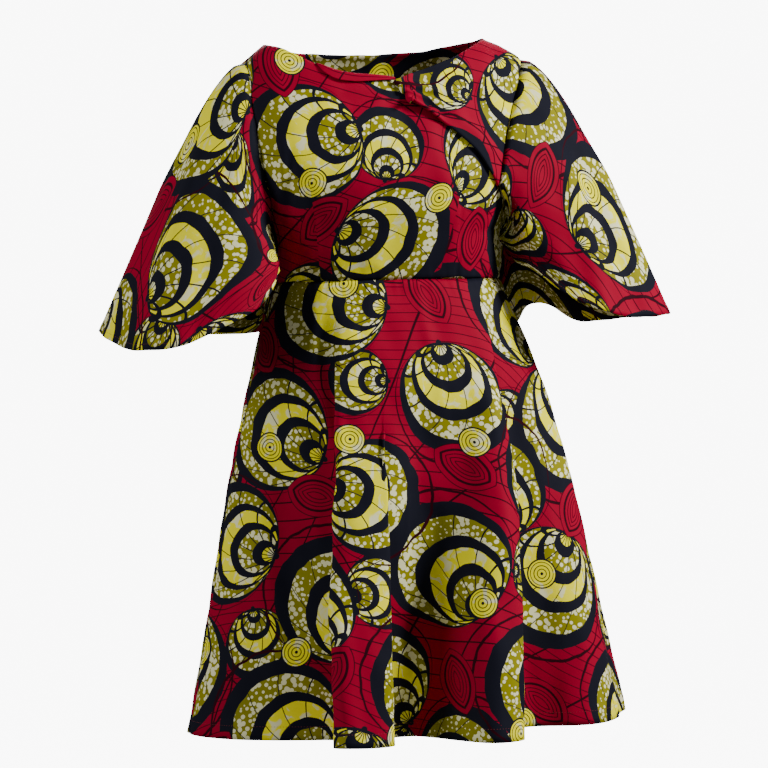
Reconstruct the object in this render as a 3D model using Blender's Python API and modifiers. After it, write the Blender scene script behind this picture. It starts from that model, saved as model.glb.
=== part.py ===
"""A fit-and-flare dress with a twisted boat neck and open cape sleeves.

The dress is built as the pieces that are cut and sewn: bodice front and back, a shoulder drape that
crosses the front from the neck twist, the rolled neck edge, two cape sleeves, and the skirt front and
back. It is hollow and keeps its worn form. Metres, +Z up, front towards -Y, and the wearer's left
towards +X. The origin lies between the shoulders, where the wearer carries the dress.
"""
from collections import namedtuple

import bpy
import numpy as np

COLLECTION_NAME = "ankara_wax_print_dress"

# Cloth and seams
WALL = 0.0016
SEAM_GAP = 0.0003
RIDGE_GAP = 0.0022
SHOULDER_REACH = 0.05
ARMHOLE_GAP = 0.0024

# Heights
WAIST_Z = -0.307
WAIST_EASE = 0.0005
HEM_Z = -0.925
UNDERARM_Z = -0.245

# The worn form: one row for each level, with its half widths and its depths
Level = namedtuple("Level", "z right left front back")
BODICE_LEVELS = (
    Level(WAIST_Z, 0.154, 0.170, 0.112, 0.098),
    Level(-0.276, 0.161, 0.170, 0.123, 0.100),
    Level(-0.245, 0.166, 0.168, 0.132, 0.102),
    Level(-0.210, 0.180, 0.178, 0.142, 0.106),
    Level(-0.170, 0.198, 0.192, 0.145, 0.110),
    Level(-0.120, 0.210, 0.208, 0.133, 0.112),
    Level(-0.075, 0.210, 0.214, 0.116, 0.108),
    Level(-0.034, 0.204, 0.216, 0.096, 0.100),
    Level(-0.002, 0.190, 0.207, 0.073, 0.086),
    Level(0.012, 0.174, 0.186, 0.055, 0.074),
    Level(0.026, 0.157, 0.158, 0.034, 0.050),
)
FORM_POWER = 2.4
SHOULDER_TILT = 0.028
TILT_START_Z = -0.150

# The rim of the form, where the shoulder seams run: heights of their outer and inner ends
SHOULDER_RIGHT_Z = -0.004
SHOULDER_LEFT_Z = 0.002
NECK_RIGHT_Z = 0.0214
NECK_LEFT_Z = 0.0304

# Edges of the bodice pieces as (x, z) on the form, between the underarm and the shoulder rim
ARMHOLE_RIGHT_FRONT = (
    (-0.1645, -0.233), (-0.168, -0.205), (-0.177, -0.165), (-0.184, -0.125), (-0.187, -0.085),
    (-0.188, -0.040),
)
ARMHOLE_RIGHT_BACK = (
    (-0.164, -0.230), (-0.166, -0.190), (-0.172, -0.130), (-0.181, -0.060), (-0.187, -0.025),
)
ARMHOLE_LEFT_LOWER = ((0.166, -0.229), (0.157, -0.207))
CROSSING = (0.142, -0.180)
ARMHOLE_LEFT_UPPER = ((0.158, -0.125), (0.180, -0.065), (0.197, -0.025))
ARMHOLE_LEFT_BACK = ((0.165, -0.230), (0.168, -0.190), (0.178, -0.130), (0.192, -0.060), (0.202, -0.020))
NECK_TWIST = (0.003, -0.034)
NECK_FRONT_RIGHT = (
    (-0.136, 0.0128), (-0.119, 0.000), (-0.103, -0.0098), (-0.080, -0.0225), (-0.056, -0.0285),
    (-0.028, -0.0316), NECK_TWIST,
)
NECK_FRONT_LEFT = (NECK_TWIST, (0.031, -0.0243), (0.071, -0.0107), (0.116, 0.0085))
NECK_BACK = ((0.110, 0.0215), (0.060, 0.0160), (0.000, 0.0138), (-0.060, 0.0140), (-0.115, 0.0170))
DRAPE_EDGE = ((0.022, -0.060), (0.050, -0.0825), (0.081, -0.106), (0.119, -0.1456), CROSSING)
UNDERLAP_EDGE = (
    NECK_TWIST, (0.016, -0.040), (0.034, -0.055), (0.060, -0.073), (0.089, -0.096), (0.127, -0.136),
    CROSSING,
)

# How far the layers stand off the form
UNDERLAP_DROP = 0.0022
UNDERLAP_EASE = 0.08
UNDERLAP_FROM = 0.55
UNDERLAP_FULL = 0.85
DRAPE_LIFT = 0.0042
DRAPE_REACH = 0.30
TWIST_LIFT = 0.0060
TWIST_REACH = 0.22

# The rolled neck edge
ROLL_START = 0.36
ROLL_END = 0.96
ROLL_RADIUS = 0.0040
ROLL_DROP = 0.0075
ROLL_THIN = 0.35
ROLL_SWELL = 0.5
ROLL_SECTION = ((0.95, -1.0), (1.0, -0.5), (1.0, 0.0), (0.6, 0.8), (0.0, 1.0), (-0.6, 0.8), (-1.0, 0.0),
                (-1.0, -0.6))

# Cape sleeves: a row for each ruling from the front of the underarm, over the shoulder, to its back
Ruling = namedtuple("Ruling", "along x y z bulge")
SLEEVE_RIGHT = (
    Ruling(0.00, -0.160, -0.078, -0.293, 0.000),
    Ruling(0.25, -0.202, -0.112, -0.337, 0.0055),
    Ruling(0.50, -0.255, -0.132, -0.368, 0.011),
    Ruling(0.70, -0.319, -0.128, -0.392, 0.0145),
    Ruling(0.85, -0.364, -0.088, -0.395, 0.018),
    Ruling(1.00, -0.387, -0.015, -0.380, 0.0215),
    Ruling(1.20, -0.382, 0.055, -0.368, 0.020),
    Ruling(1.45, -0.338, 0.108, -0.371, 0.015),
    Ruling(1.65, -0.272, 0.132, -0.378, 0.011),
    Ruling(1.82, -0.214, 0.132, -0.378, 0.006),
    Ruling(1.92, -0.175, 0.108, -0.378, 0.003),
    Ruling(2.00, -0.150, 0.074, -0.375, 0.000),
)
SLEEVE_LEFT = (
    Ruling(0.00, 0.172, -0.038, -0.264, 0.000),
    Ruling(0.12, 0.179, -0.072, -0.285, 0.002),
    Ruling(0.25, 0.193, -0.098, -0.296, 0.0055),
    Ruling(0.45, 0.249, -0.130, -0.342, 0.011),
    Ruling(0.65, 0.314, -0.132, -0.364, 0.018),
    Ruling(0.82, 0.377, -0.107, -0.364, 0.022),
    Ruling(1.00, 0.412, -0.045, -0.364, 0.0265),
    Ruling(1.20, 0.406, 0.030, -0.367, 0.0245),
    Ruling(1.42, 0.365, 0.092, -0.371, 0.020),
    Ruling(1.58, 0.322, 0.122, -0.367, 0.013),
    Ruling(1.67, 0.299, 0.131, -0.350, 0.010),
    Ruling(1.75, 0.276, 0.131, -0.344, 0.007),
    Ruling(1.82, 0.253, 0.122, -0.351, 0.005),
    Ruling(1.87, 0.240, 0.112, -0.369, 0.004),
    Ruling(1.93, 0.220, 0.090, -0.379, 0.003),
    Ruling(2.00, 0.200, 0.051, -0.373, 0.000),
)

SLEEVE_START = 0.03
SHOULDER_EASE = 0.0016
BOW_SKEW = 0.52

# Skirt: the ring that runs through the valleys, from the waist to the hem
Ring = namedtuple("Ring", "down right left front back")
SKIRT_RINGS = (
    Ring(0.00, 0.154, 0.170, 0.112, 0.098),
    Ring(0.15, 0.176, 0.207, 0.124, 0.122),
    Ring(0.40, 0.213, 0.262, 0.134, 0.142),
    Ring(0.70, 0.249, 0.307, 0.143, 0.154),
    Ring(1.00, 0.285, 0.347, 0.150, 0.162),
)
# Its folds: the angle of each foot and crest at the waist and the hem, in degrees from the right side
# round the front. The tucks draw the crest out over its foot. A fold grows from its onset to the hem.
Fold = namedtuple("Fold", "top_a top_crest top_b hem_a hem_crest hem_b depth tuck_a tuck_b onset fade")
SKIRT_FOLDS = (
    Fold(50, 65, 92, 62, 73.5, 86.5, 0.088, 0.34, 0.27, 0.03, None),
    Fold(66, 92, 118, 75, 86, 99, 0.085, 0.0, 0.0, 0.03, 0.36),
    Fold(92, 122, 148, 88, 103, 112.5, 0.110, 0.0, 0.34, 0.00, None),
    Fold(140, 158, 178, 117, 134, 162, 0.040, 0.0, 0.0, 0.10, None),
    Fold(186, 200, 218, 184, 201, 216, 0.055, 0.0, 0.20, 0.10, None),
    Fold(216, 236, 254, 219, 236, 251, 0.080, 0.22, 0.16, 0.06, None),
    Fold(256, 272, 288, 256, 270, 284, 0.070, 0.14, 0.26, 0.14, None),
    Fold(290, 309, 334, 291, 310, 331, 0.058, 0.20, 0.10, 0.05, None),
)
FOLD_GROWTH = 0.95
ANGLE_DRIFT = 0.55
FADED_BY = 0.80
TUCK_LEAD = 2.2
ROUND_BY = 0.35

# Faces along and across each piece
Mesh = namedtuple("Mesh", "columns rows")
BODICE_BACK_COLUMNS = {"shoulder": 3, "neck": 18}
BODICE_BACK_ROWS = 11
SLEEVE_MESH = Mesh(30, 8)
SKIRT_FRONT_MESH = Mesh(66, 13)
SKIRT_BACK_MESH = Mesh(60, 12)
ROW_CROWD = 1.1
DRAPE_COLUMNS = {"neck": 11, "shoulder": 3}
DRAPE_ROWS = 9
ROLL_MESH = Mesh(14, 7)
BODICE_FRONT_ROWS = 12
BODICE_FRONT_COLUMNS = {"shoulder": 3, "neck": 12, "underlap": 11, "armhole": 4}
SIDE_SEAM_SHARE = 0.22
GIRTH_STEPS = 161
FINE = 240
RIM_ROUNDS = 5
RELAX_ROUNDS = 3
TINY = 1e-9

# Colours and finish of the printed cotton
CRIMSON = (0.46, 0.004, 0.028, 1.0)
CRIMSON_SHADE = (0.36, 0.004, 0.024, 1.0)
CLOTH_ROUGHNESS = 0.62


def smooth(keys, values, at):
    """Return a cubic curve through the keyed values, sloped by their neighbours."""
    keys = np.asarray(keys, float)
    values = np.asarray(values, float)
    at = np.asarray(at, float)
    slopes = np.gradient(values, keys, axis=0)
    left = np.clip(np.searchsorted(keys, at, side="right") - 1, 0, len(keys) - 2)
    span = keys[left + 1] - keys[left]
    f = (at - keys[left]) / span
    if values.ndim > 1:
        span = span[..., None]
        f = f[..., None]
    near = values[left] * (1 + 2 * f) * (1 - f) ** 2 + slopes[left] * span * f * (1 - f) ** 2
    far = values[left + 1] * f ** 2 * (3 - 2 * f) - slopes[left + 1] * span * f ** 2 * (1 - f)
    return near + far


def ease(value):
    """Return 0 to 1 with soft ends."""
    value = np.clip(value, 0.0, 1.0)
    return value * value * (3 - 2 * value)


def lengths(points):
    """Return the length along a row of points, from its first."""
    steps = np.linalg.norm(np.diff(points, axis=0), axis=1)
    return np.concatenate([[0.0], np.cumsum(steps)])


def unit(vectors):
    """Return the vectors at a length of one."""
    return vectors / np.maximum(np.linalg.norm(vectors, axis=-1, keepdims=True), TINY)


def evenly(points, shares):
    """Return the places on a row of points at these shares of its length."""
    along = lengths(points)
    wanted = np.asarray(shares) * along[-1]
    return np.stack([np.interp(wanted, along, points[:, axis]) for axis in range(points.shape[1])], axis=1)


def form_level(x, z):
    """Return the (right, left, front, back) sizes of the form at these points."""
    tilt = SHOULDER_TILT * x * np.clip((z - TILT_START_Z) / -TILT_START_Z, 0, 1)
    keys = [level.z for level in BODICE_LEVELS]
    return smooth(keys, [level[1:] for level in BODICE_LEVELS], np.clip(z - tilt, keys[0], keys[-1]))


def form_half(x, z):
    """Return the form's half width on the side where x lies."""
    sizes = form_level(x, z)
    return np.where(x < 0, sizes[..., 0], sizes[..., 1])


def form_rim(side, z):
    """Return the form's half width at its rim, out on one side."""
    half = np.full_like(np.asarray(z, float), BODICE_LEVELS[0].right)
    for _ in range(RIM_ROUNDS):
        half = form_half(side * half, z)
    return half


def form_point(x, z, face, lift=0.0):
    """Return points on the worn form, in front (face -1) or behind (face 1), lifted off it."""
    x = np.asarray(x, float)
    z = np.asarray(z, float)
    sizes = form_level(x, z)
    half = form_half(x, z)
    depth = sizes[..., 2] if face < 0 else sizes[..., 3]
    across = np.clip(1 - np.clip(np.abs(x) / half, 0, 1) ** FORM_POWER, 0, 1) ** (1 / FORM_POWER)
    ridge = SEAM_GAP / 2 + RIDGE_GAP / 2 * ease(1 + z / SHOULDER_REACH)
    y = face * (depth * across + ridge)
    slant = np.stack([x / half ** 2, y / depth ** 2, np.zeros_like(y)], axis=-1)
    return np.stack([x, y, z], axis=-1) + unit(slant) * np.asarray(lift)[..., None]


def girth_table(side, z, face):
    """Return x and the length round the form from its middle, out to one side, for each height."""
    turn = np.sin(np.linspace(0, np.pi / 2, GIRTH_STEPS))
    heights = np.repeat(z[:, None], GIRTH_STEPS, axis=1)
    x = side[:, None] * turn * form_rim(side, z)[:, None]
    points = form_point(x, heights, face)
    steps = np.linalg.norm(np.diff(points[..., :2], axis=1), axis=-1)
    return x, np.concatenate([np.zeros((len(z), 1)), np.cumsum(steps, axis=1)], axis=1)


def read_across(keys, values, at):
    """Return one value for each row, read off that row's own rising keys."""
    high = np.clip((keys < at[:, None]).sum(axis=1), 1, keys.shape[1] - 1)
    row = np.arange(len(at))
    span = np.maximum(keys[row, high] - keys[row, high - 1], 1e-12)
    f = np.clip((at - keys[row, high - 1]) / span, 0, 1)
    return values[row, high - 1] * (1 - f) + values[row, high] * f


def unroll(edge, face):
    """Return (x, z) points as (girth, z): the length round the form from its middle, and the height."""
    edge = np.asarray(edge, float)
    side = np.where(edge[:, 0] < 0, -1.0, 1.0)
    x, girth = girth_table(side, edge[:, 1], face)
    return np.column_stack([side * read_across(np.abs(x), girth, np.abs(edge[:, 0])), edge[:, 1]])


def roll_up(flat, face, lift):
    """Return points on the form for a grid of (girth, z)."""
    girth = flat[..., 0].ravel()
    z = flat[..., 1].ravel()
    side = np.where(girth < 0, -1.0, 1.0)
    x, table = girth_table(side, z, face)
    found = read_across(table, x, np.abs(girth)).reshape(flat.shape[:-1])
    return form_point(found, flat[..., 1], face, lift)


def patch(low, high, start, end):
    """Return the four-sided patch between two long edges and two side edges, its inside evened out."""
    u = np.linspace(0, 1, len(low))[None, :, None]
    v = np.linspace(0, 1, len(start))[:, None, None]
    sides = (1 - v) * low + v * high + (1 - u) * start[:, None] + u * end[:, None]
    corners = (1 - u) * ((1 - v) * low[0] + v * high[0]) + u * ((1 - v) * low[-1] + v * high[-1])
    grid = sides - corners
    for _ in range(RELAX_ROUNDS):
        across = grid[1:-1, :-2] + grid[1:-1, 2:]
        along = grid[:-2, 1:-1] + grid[2:, 1:-1]
        grid[1:-1, 1:-1] = (across + along) / 4
    return grid, u[..., 0], v[..., 0]


def rim_point(side, height):
    """Return (x, z) on the rim of the form, where its front and back meet."""
    return side * float(form_rim(side, height)), height


def edge_curve(edge, shares, face):
    """Return (girth, z) along an edge given as (x, z), even in length."""
    points = np.asarray(edge, float)
    fine = smooth(lengths(points), points, np.linspace(0, lengths(points)[-1], FINE))
    return evenly(unroll(fine, face), shares)


def rim_curve(side, from_z, to_z, faces, face):
    """Return (girth, z) along the rim: a side seam or a shoulder seam."""
    points = [rim_point(side, height) for height in np.linspace(from_z, to_z, faces + 1)]
    return unroll(points, face)


def armhole(side, points, face):
    """Return a whole armhole edge as (x, z), from the underarm to the shoulder rim."""
    shoulder_z = SHOULDER_RIGHT_Z if side < 0 else SHOULDER_LEFT_Z
    return (rim_point(side, UNDERARM_Z),) + points + (rim_point(side, shoulder_z),)


def side_edge(side, upper, rows, face):
    """Return a bodice side, up its side seam and the edge above it, as (girth, z)."""
    seam_rows = max(2, round(rows * SIDE_SEAM_SHARE))
    seam = rim_curve(side, WAIST_Z, UNDERARM_Z, seam_rows, face)
    return np.concatenate([seam, edge_curve(upper, np.linspace(0, 1, rows - seam_rows + 1)[1:], face)])


def waist_edge(first, last, columns):
    """Return the waist edge as (girth, z) between the feet of two sides."""
    return np.linspace(first[0], last[0], columns + 1)


def bodice_front():
    """Return the bodice front, which runs in under the drape along its crossing edge."""
    counts = BODICE_FRONT_COLUMNS
    neck = (rim_point(-1, NECK_RIGHT_Z),) + NECK_FRONT_RIGHT
    top = np.concatenate([
        rim_curve(-1, SHOULDER_RIGHT_Z, NECK_RIGHT_Z, counts["shoulder"], -1),
        edge_curve(neck, np.linspace(0, 1, counts["neck"] + 1)[1:], -1),
        edge_curve(UNDERLAP_EDGE, np.linspace(0, 1, counts["underlap"] + 1)[1:], -1),
        edge_curve(lower_armhole_left(), np.linspace(1, 0, counts["armhole"] + 1)[1:], -1),
    ])
    right = side_edge(-1, armhole(-1, ARMHOLE_RIGHT_FRONT, -1), BODICE_FRONT_ROWS, -1)
    left = rim_curve(1, WAIST_Z, UNDERARM_Z, BODICE_FRONT_ROWS, -1)
    columns = sum(counts.values())
    flat, u, v = patch(waist_edge(right, left, columns), top, right, left)
    first = (counts["shoulder"] + counts["neck"]) / columns
    last = 1 - counts["armhole"] / columns
    under = ease((u - first) / UNDERLAP_EASE + 1) * ease((last - u) / UNDERLAP_EASE)
    under = under * ease((v - UNDERLAP_FROM) / (UNDERLAP_FULL - UNDERLAP_FROM))
    return roll_up(flat, -1, -UNDERLAP_DROP * under)


def bodice_back():
    """Return the bodice back, from the wearer's left side to the right."""
    counts = BODICE_BACK_COLUMNS
    neck = (rim_point(1, NECK_LEFT_Z),) + NECK_BACK + (rim_point(-1, NECK_RIGHT_Z),)
    top = np.concatenate([
        rim_curve(1, SHOULDER_LEFT_Z, NECK_LEFT_Z, counts["shoulder"], 1),
        edge_curve(neck, np.linspace(0, 1, counts["neck"] + 1)[1:], 1),
        rim_curve(-1, NECK_RIGHT_Z, SHOULDER_RIGHT_Z, counts["shoulder"], 1)[1:],
    ])
    left = side_edge(1, armhole(1, ARMHOLE_LEFT_BACK, 1), BODICE_BACK_ROWS, 1)
    right = side_edge(-1, armhole(-1, ARMHOLE_RIGHT_BACK, 1), BODICE_BACK_ROWS, 1)
    flat, _, _ = patch(waist_edge(left, right, len(top) - 1), top, left, right)
    return roll_up(flat, 1, np.zeros(flat.shape[:-1]))


def shoulder_drape():
    """Return the drape: a four-sided patch from its crossing edge up to the neck and the shoulder."""
    counts = DRAPE_COLUMNS
    neck = NECK_FRONT_LEFT + (rim_point(1, NECK_LEFT_Z),)
    high = np.concatenate([
        edge_curve(neck, np.linspace(0, 1, counts["neck"] + 1), -1),
        rim_curve(1, NECK_LEFT_Z, SHOULDER_LEFT_Z, counts["shoulder"], -1)[1:],
    ])
    low = edge_curve(DRAPE_EDGE, np.linspace(0, 1, len(high)), -1)
    start = np.linspace(low[0], high[0], DRAPE_ROWS + 1)
    end = edge_curve(drape_side(), np.linspace(0, 1, DRAPE_ROWS + 1), -1)
    flat, u, v = patch(low, high, start, end)
    lift = DRAPE_LIFT * (1 - ease(v / DRAPE_REACH)) + TWIST_LIFT * (1 - ease(u / TWIST_REACH))
    return roll_up(flat, -1, lift)


def lower_armhole_left():
    """Return the left armhole below the drape as (x, z), from the underarm to the crossing."""
    return (rim_point(1, UNDERARM_Z),) + ARMHOLE_LEFT_LOWER + (CROSSING,)


def drape_side():
    """Return the drape's edge at the left armhole as (x, z), from the crossing to the shoulder."""
    return (CROSSING,) + ARMHOLE_LEFT_UPPER + (rim_point(1, SHOULDER_LEFT_Z),)


def neck_roll():
    """Return the neck edge that rolls over to the outside and tucks into the twist."""
    along = np.linspace(0, 1, ROLL_MESH.columns + 1)
    neck = (rim_point(-1, NECK_RIGHT_Z),) + NECK_FRONT_RIGHT
    edge = edge_curve(neck, ROLL_START + (ROLL_END - ROLL_START) * along, -1)
    flat = np.zeros(len(edge))
    base = roll_up(edge, -1, flat)
    down = unit(roll_up(edge - (0, ROLL_DROP), -1, flat) - base)
    out = unit(np.cross(np.gradient(base, axis=0), -down))
    full = (ROLL_THIN + (1 - ROLL_THIN) * ease(along / ROLL_SWELL))[:, None]
    points = []
    for side, height in ROLL_SECTION:
        fall = -ROLL_RADIUS * height if height > 0 else -ROLL_DROP * height * full
        points.append(base + out * (side * ROLL_RADIUS) + down * fall)
    return np.array(points)


def armhole_right(lift):
    """Return the right armhole from the front of the underarm over the shoulder to its back."""
    even = np.linspace(0, 1, FINE)
    front = edge_curve(armhole(-1, ARMHOLE_RIGHT_FRONT, -1), even, -1)
    back = edge_curve(armhole(-1, ARMHOLE_RIGHT_BACK, 1), even[::-1], 1)
    none = np.zeros(FINE)
    return np.concatenate([roll_up(front, -1, none + lift), roll_up(back, 1, none + lift)[1:]])


def armhole_left(lift):
    """Return the left armhole, whose upper front is the side of the drape."""
    even = np.linspace(0, 1, FINE)
    lower = edge_curve(lower_armhole_left(), even, -1)
    upper = edge_curve(drape_side(), even, -1)
    back = edge_curve(armhole(1, ARMHOLE_LEFT_BACK, 1), even[::-1], 1)
    return np.concatenate([
        roll_up(lower, -1, DRAPE_LIFT * ease(even) + lift),
        roll_up(upper, -1, DRAPE_LIFT * (1 - ease(even / DRAPE_REACH)) + lift)[1:],
        roll_up(back, 1, np.zeros(FINE) + lift)[1:],
    ])


def sleeve(side, rulings, edge, lifted):
    """Return a cape sleeve: rulings from the armhole to the hem, bowed outward."""
    keys = [ruling.along for ruling in rulings]
    values = [ruling[1:] for ruling in rulings]
    along = np.linspace(0, keys[-1], FINE)
    hem_length = lengths(smooth(keys, values, along)[:, :3])
    along = np.interp(np.linspace(0, hem_length[-1], SLEEVE_MESH.columns + 1), hem_length, along)
    hem = smooth(keys, values, along)
    edge_share = lengths(edge) / lengths(edge)[-1]
    shoulder = edge_share[np.argmax(edge[:, 2])]
    shares = np.interp(along, (0, 1, keys[-1]), (SLEEVE_START, shoulder, 1 - SLEEVE_START))
    top = evenly(edge, shares)
    outward = np.stack([np.interp(shares, edge_share, axis) for axis in unit(lifted - edge).T], axis=1)
    ahead = np.stack([np.interp(shares, edge_share, axis) for axis in np.gradient(edge, axis=0).T], axis=1)
    beyond = unit(side * np.cross(ahead, outward))
    away = unit(hem[:, :3] - top)
    away = unit(away - unit(ahead) * (away * unit(ahead)).sum(axis=1, keepdims=True))
    clear = ease((away * beyond).sum(axis=1))[:, None]
    gap = ARMHOLE_GAP + SHOULDER_EASE * ease(1 + top[:, 2:] / SHOULDER_REACH)
    start = top + gap * unit(away * clear + outward * (1 - clear))
    down = unit(hem[:, :3] - start)
    out = unit(np.array([0.0, 0.0, 1.0]) - down * down[:, 2:])
    t = np.linspace(0, 1, SLEEVE_MESH.rows + 1)[:, None, None]
    bow = np.sin(np.pi * t ** BOW_SKEW) * hem[:, 3:]
    return start + (hem[:, :3] - start) * t + out * bow


def skirt_ring(down, face, columns):
    """Return one level of the skirt, even in length from its first side seam to the other."""
    half_turn = np.linspace(0, 180, FINE * 2) if face < 0 else np.linspace(180, 360, FINE * 2)
    keys = [ring.down for ring in SKIRT_RINGS]
    right, left, front, back = smooth(keys, [ring[1:] for ring in SKIRT_RINGS], down)
    drift = down ** ANGLE_DRIFT
    angle = np.radians(half_turn)
    bulge = np.zeros_like(angle)
    slide = np.zeros_like(angle)
    for fold in SKIRT_FOLDS:
        foot_a = fold.top_a + (fold.hem_a - fold.top_a) * drift
        crest = fold.top_crest + (fold.hem_crest - fold.top_crest) * drift
        foot_b = fold.top_b + (fold.hem_b - fold.top_b) * drift
        reach = np.where(half_turn < crest, crest - foot_a, foot_b - crest)
        u = np.clip((half_turn - crest) / reach, -1, 1)
        grown = np.clip((down - fold.onset) / (1 - fold.onset), 0, 1) ** FOLD_GROWTH
        if fold.fade is not None:
            grown *= 1 - ease((down - fold.fade) / (FADED_BY - fold.fade))
        tuck = np.where(u < 0, fold.tuck_a, fold.tuck_b)
        bulge += fold.depth * grown * np.cos(np.pi * u / 2) ** 2
        slide += tuck * np.radians(reach) * np.sin(2 * np.pi * u) * min(1.0, TUCK_LEAD * grown)
    turned = angle + slide
    x_half = np.where(np.cos(turned) > 0, right, left)
    depth = np.where(np.sin(turned) > 0, front, back)
    power = FORM_POWER + (2 - FORM_POWER) * ease(down / ROUND_BY)
    squared = (np.abs(np.cos(turned)) ** power + np.abs(np.sin(turned)) ** power) ** (-1 / power)
    x = -np.cos(turned) * x_half * squared
    y = -np.sin(turned) * depth * squared
    normal = np.stack([x / x_half ** 2, y / depth ** 2], axis=1)
    normal /= np.linalg.norm(normal, axis=1, keepdims=True)
    ring = np.stack([x, y], axis=1) + normal * bulge[:, None]
    ring[:, 1] += face * SEAM_GAP / 2
    return evenly(ring, np.linspace(0, 1, columns + 1))


def skirt(face, mesh):
    """Return the skirt front or back from the hem up to the waist seam."""
    grid = []
    for share in np.linspace(1, 0, mesh.rows + 1):
        down = share ** ROW_CROWD
        ring = skirt_ring(down, face, mesh.columns)
        z = WAIST_Z - SEAM_GAP - WAIST_EASE + (HEM_Z - WAIST_Z) * down
        grid.append(np.column_stack([ring, np.full(len(ring), z)]))
    return np.array(grid)


def new_material(name, colour):
    """Return a plain matte cotton material."""
    material = bpy.data.materials.new(name)
    material.use_nodes = True
    shader = material.node_tree.nodes["Principled BSDF"]
    shader.inputs["Base Color"].default_value = colour
    shader.inputs["Roughness"].default_value = CLOTH_ROUGHNESS
    shader.inputs["Metallic"].default_value = 0.0
    return material


def add_sheet(name, grid, colour, collection):
    """Add one cloth piece: a grid primitive laid on its points, then given its wall."""
    rows, columns = grid.shape[0] - 1, grid.shape[1] - 1
    bpy.ops.mesh.primitive_grid_add(x_subdivisions=columns, y_subdivisions=rows, size=1)
    piece = bpy.context.object
    piece.name = name
    piece.data.name = name
    piece.data.vertices.foreach_set("co", grid.reshape(-1).astype(np.float32))
    piece.data.shade_smooth()
    wall = piece.modifiers.new("Wall", "SOLIDIFY")
    wall.thickness = WALL
    wall.offset = 0.0
    piece.data.materials.append(new_material(name + "_cotton", colour))
    for owner in list(piece.users_collection):
        owner.objects.unlink(piece)
    collection.objects.link(piece)
    return piece


def clear_scene():
    """Remove every object of the scene."""
    for item in list(bpy.data.objects):
        bpy.data.objects.remove(item, do_unlink=True)


def main():
    """Build the dress."""
    clear_scene()
    collection = bpy.data.collections.new(COLLECTION_NAME)
    bpy.context.scene.collection.children.link(collection)
    pieces = {
        "bodice_front": (bodice_front(), CRIMSON),
        "bodice_back": (bodice_back(), CRIMSON_SHADE),
        "shoulder_drape": (shoulder_drape(), CRIMSON_SHADE),
        "neck_roll": (neck_roll(), CRIMSON_SHADE),
        "sleeve_right": (sleeve(-1, SLEEVE_RIGHT, armhole_right(0.0), armhole_right(WALL)), CRIMSON_SHADE),
        "sleeve_left": (sleeve(1, SLEEVE_LEFT, armhole_left(0.0), armhole_left(WALL))[:, ::-1], CRIMSON),
        "skirt_front": (skirt(-1, SKIRT_FRONT_MESH), CRIMSON),
        "skirt_back": (skirt(1, SKIRT_BACK_MESH), CRIMSON_SHADE),
    }
    for name, (grid, colour) in pieces.items():
        add_sheet(name, grid, colour, collection)


main()
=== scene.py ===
"""The finish of a worn, hollow dress in wax-printed cotton: its cloth, print, seams and stitching.

Each cloth piece is a thin shell laid on the form of its solid, from the same driving sizes, with its
soft creases pressed in.
Metres, +Z up, the front towards -Y and the wearer's left towards +X.
"""
import math
from collections import namedtuple
from functools import partialmethod

import bpy
import numpy as np
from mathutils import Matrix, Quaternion, Vector


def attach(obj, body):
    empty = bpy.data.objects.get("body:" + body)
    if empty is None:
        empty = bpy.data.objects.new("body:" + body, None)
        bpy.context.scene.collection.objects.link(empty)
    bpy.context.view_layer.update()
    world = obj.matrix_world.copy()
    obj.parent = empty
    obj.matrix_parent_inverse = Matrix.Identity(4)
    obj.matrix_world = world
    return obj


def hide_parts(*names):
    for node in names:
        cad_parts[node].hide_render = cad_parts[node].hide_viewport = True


bl_info = {
    "name": "Wax Print Dress",
    "version": (1, 0, 0),
    "blender": (4, 5, 0),
    "location": "3D View > Sidebar > Dress",
    "description": "Dresses a hollow worn dress in printed cotton",
    "category": "Object",
}

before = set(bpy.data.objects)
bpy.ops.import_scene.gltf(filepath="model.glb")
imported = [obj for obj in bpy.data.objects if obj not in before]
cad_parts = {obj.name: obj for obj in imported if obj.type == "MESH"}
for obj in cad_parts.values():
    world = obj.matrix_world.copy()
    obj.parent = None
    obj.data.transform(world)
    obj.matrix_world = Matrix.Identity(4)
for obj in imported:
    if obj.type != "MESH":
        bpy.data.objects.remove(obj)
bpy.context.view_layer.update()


def named_rows(kind, *table):
    """Return a table's rows with their columns named."""
    return tuple(kind(*row) for row in table)



# Seams and gaps
SEAM_GAP = 0.0003
RIDGE_GAP = 0.0006
SHOULDER_REACH = 0.05
ARMHOLE_GAP = 0.0004
ARMHOLE_PROBE = 0.001

# Heights
WAIST_Z = -0.307
WAIST_EASE = 0.0005
HEM_Z = -0.925
UNDERARM_Z = -0.245

# The worn form: one row for each level, with its half widths and its depths
Level = namedtuple("Level", "z right left front back")
BODICE_LEVELS = named_rows(
    Level,
    (WAIST_Z, 0.154, 0.170, 0.112, 0.098),
    (-0.276, 0.161, 0.170, 0.123, 0.100),
    (-0.245, 0.166, 0.168, 0.132, 0.102),
    (-0.210, 0.180, 0.178, 0.142, 0.106),
    (-0.170, 0.198, 0.192, 0.145, 0.110),
    (-0.120, 0.210, 0.208, 0.133, 0.112),
    (-0.075, 0.210, 0.214, 0.116, 0.108),
    (-0.034, 0.204, 0.216, 0.096, 0.100),
    (-0.002, 0.190, 0.207, 0.073, 0.086),
    (0.012, 0.174, 0.186, 0.055, 0.074),
    (0.026, 0.157, 0.158, 0.034, 0.050),
)
# How square the form is, and how far it rises to the wearer's left towards the shoulders
FORM_POWER = 2.4
SHOULDER_TILT = 0.028
TILT_START_Z = -0.150

# The rim of the form, where the shoulder seams run: heights of their outer and inner ends
SHOULDER_RIGHT_Z = -0.004
SHOULDER_LEFT_Z = 0.002
NECK_RIGHT_Z = 0.0214
NECK_LEFT_Z = 0.0304

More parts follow.
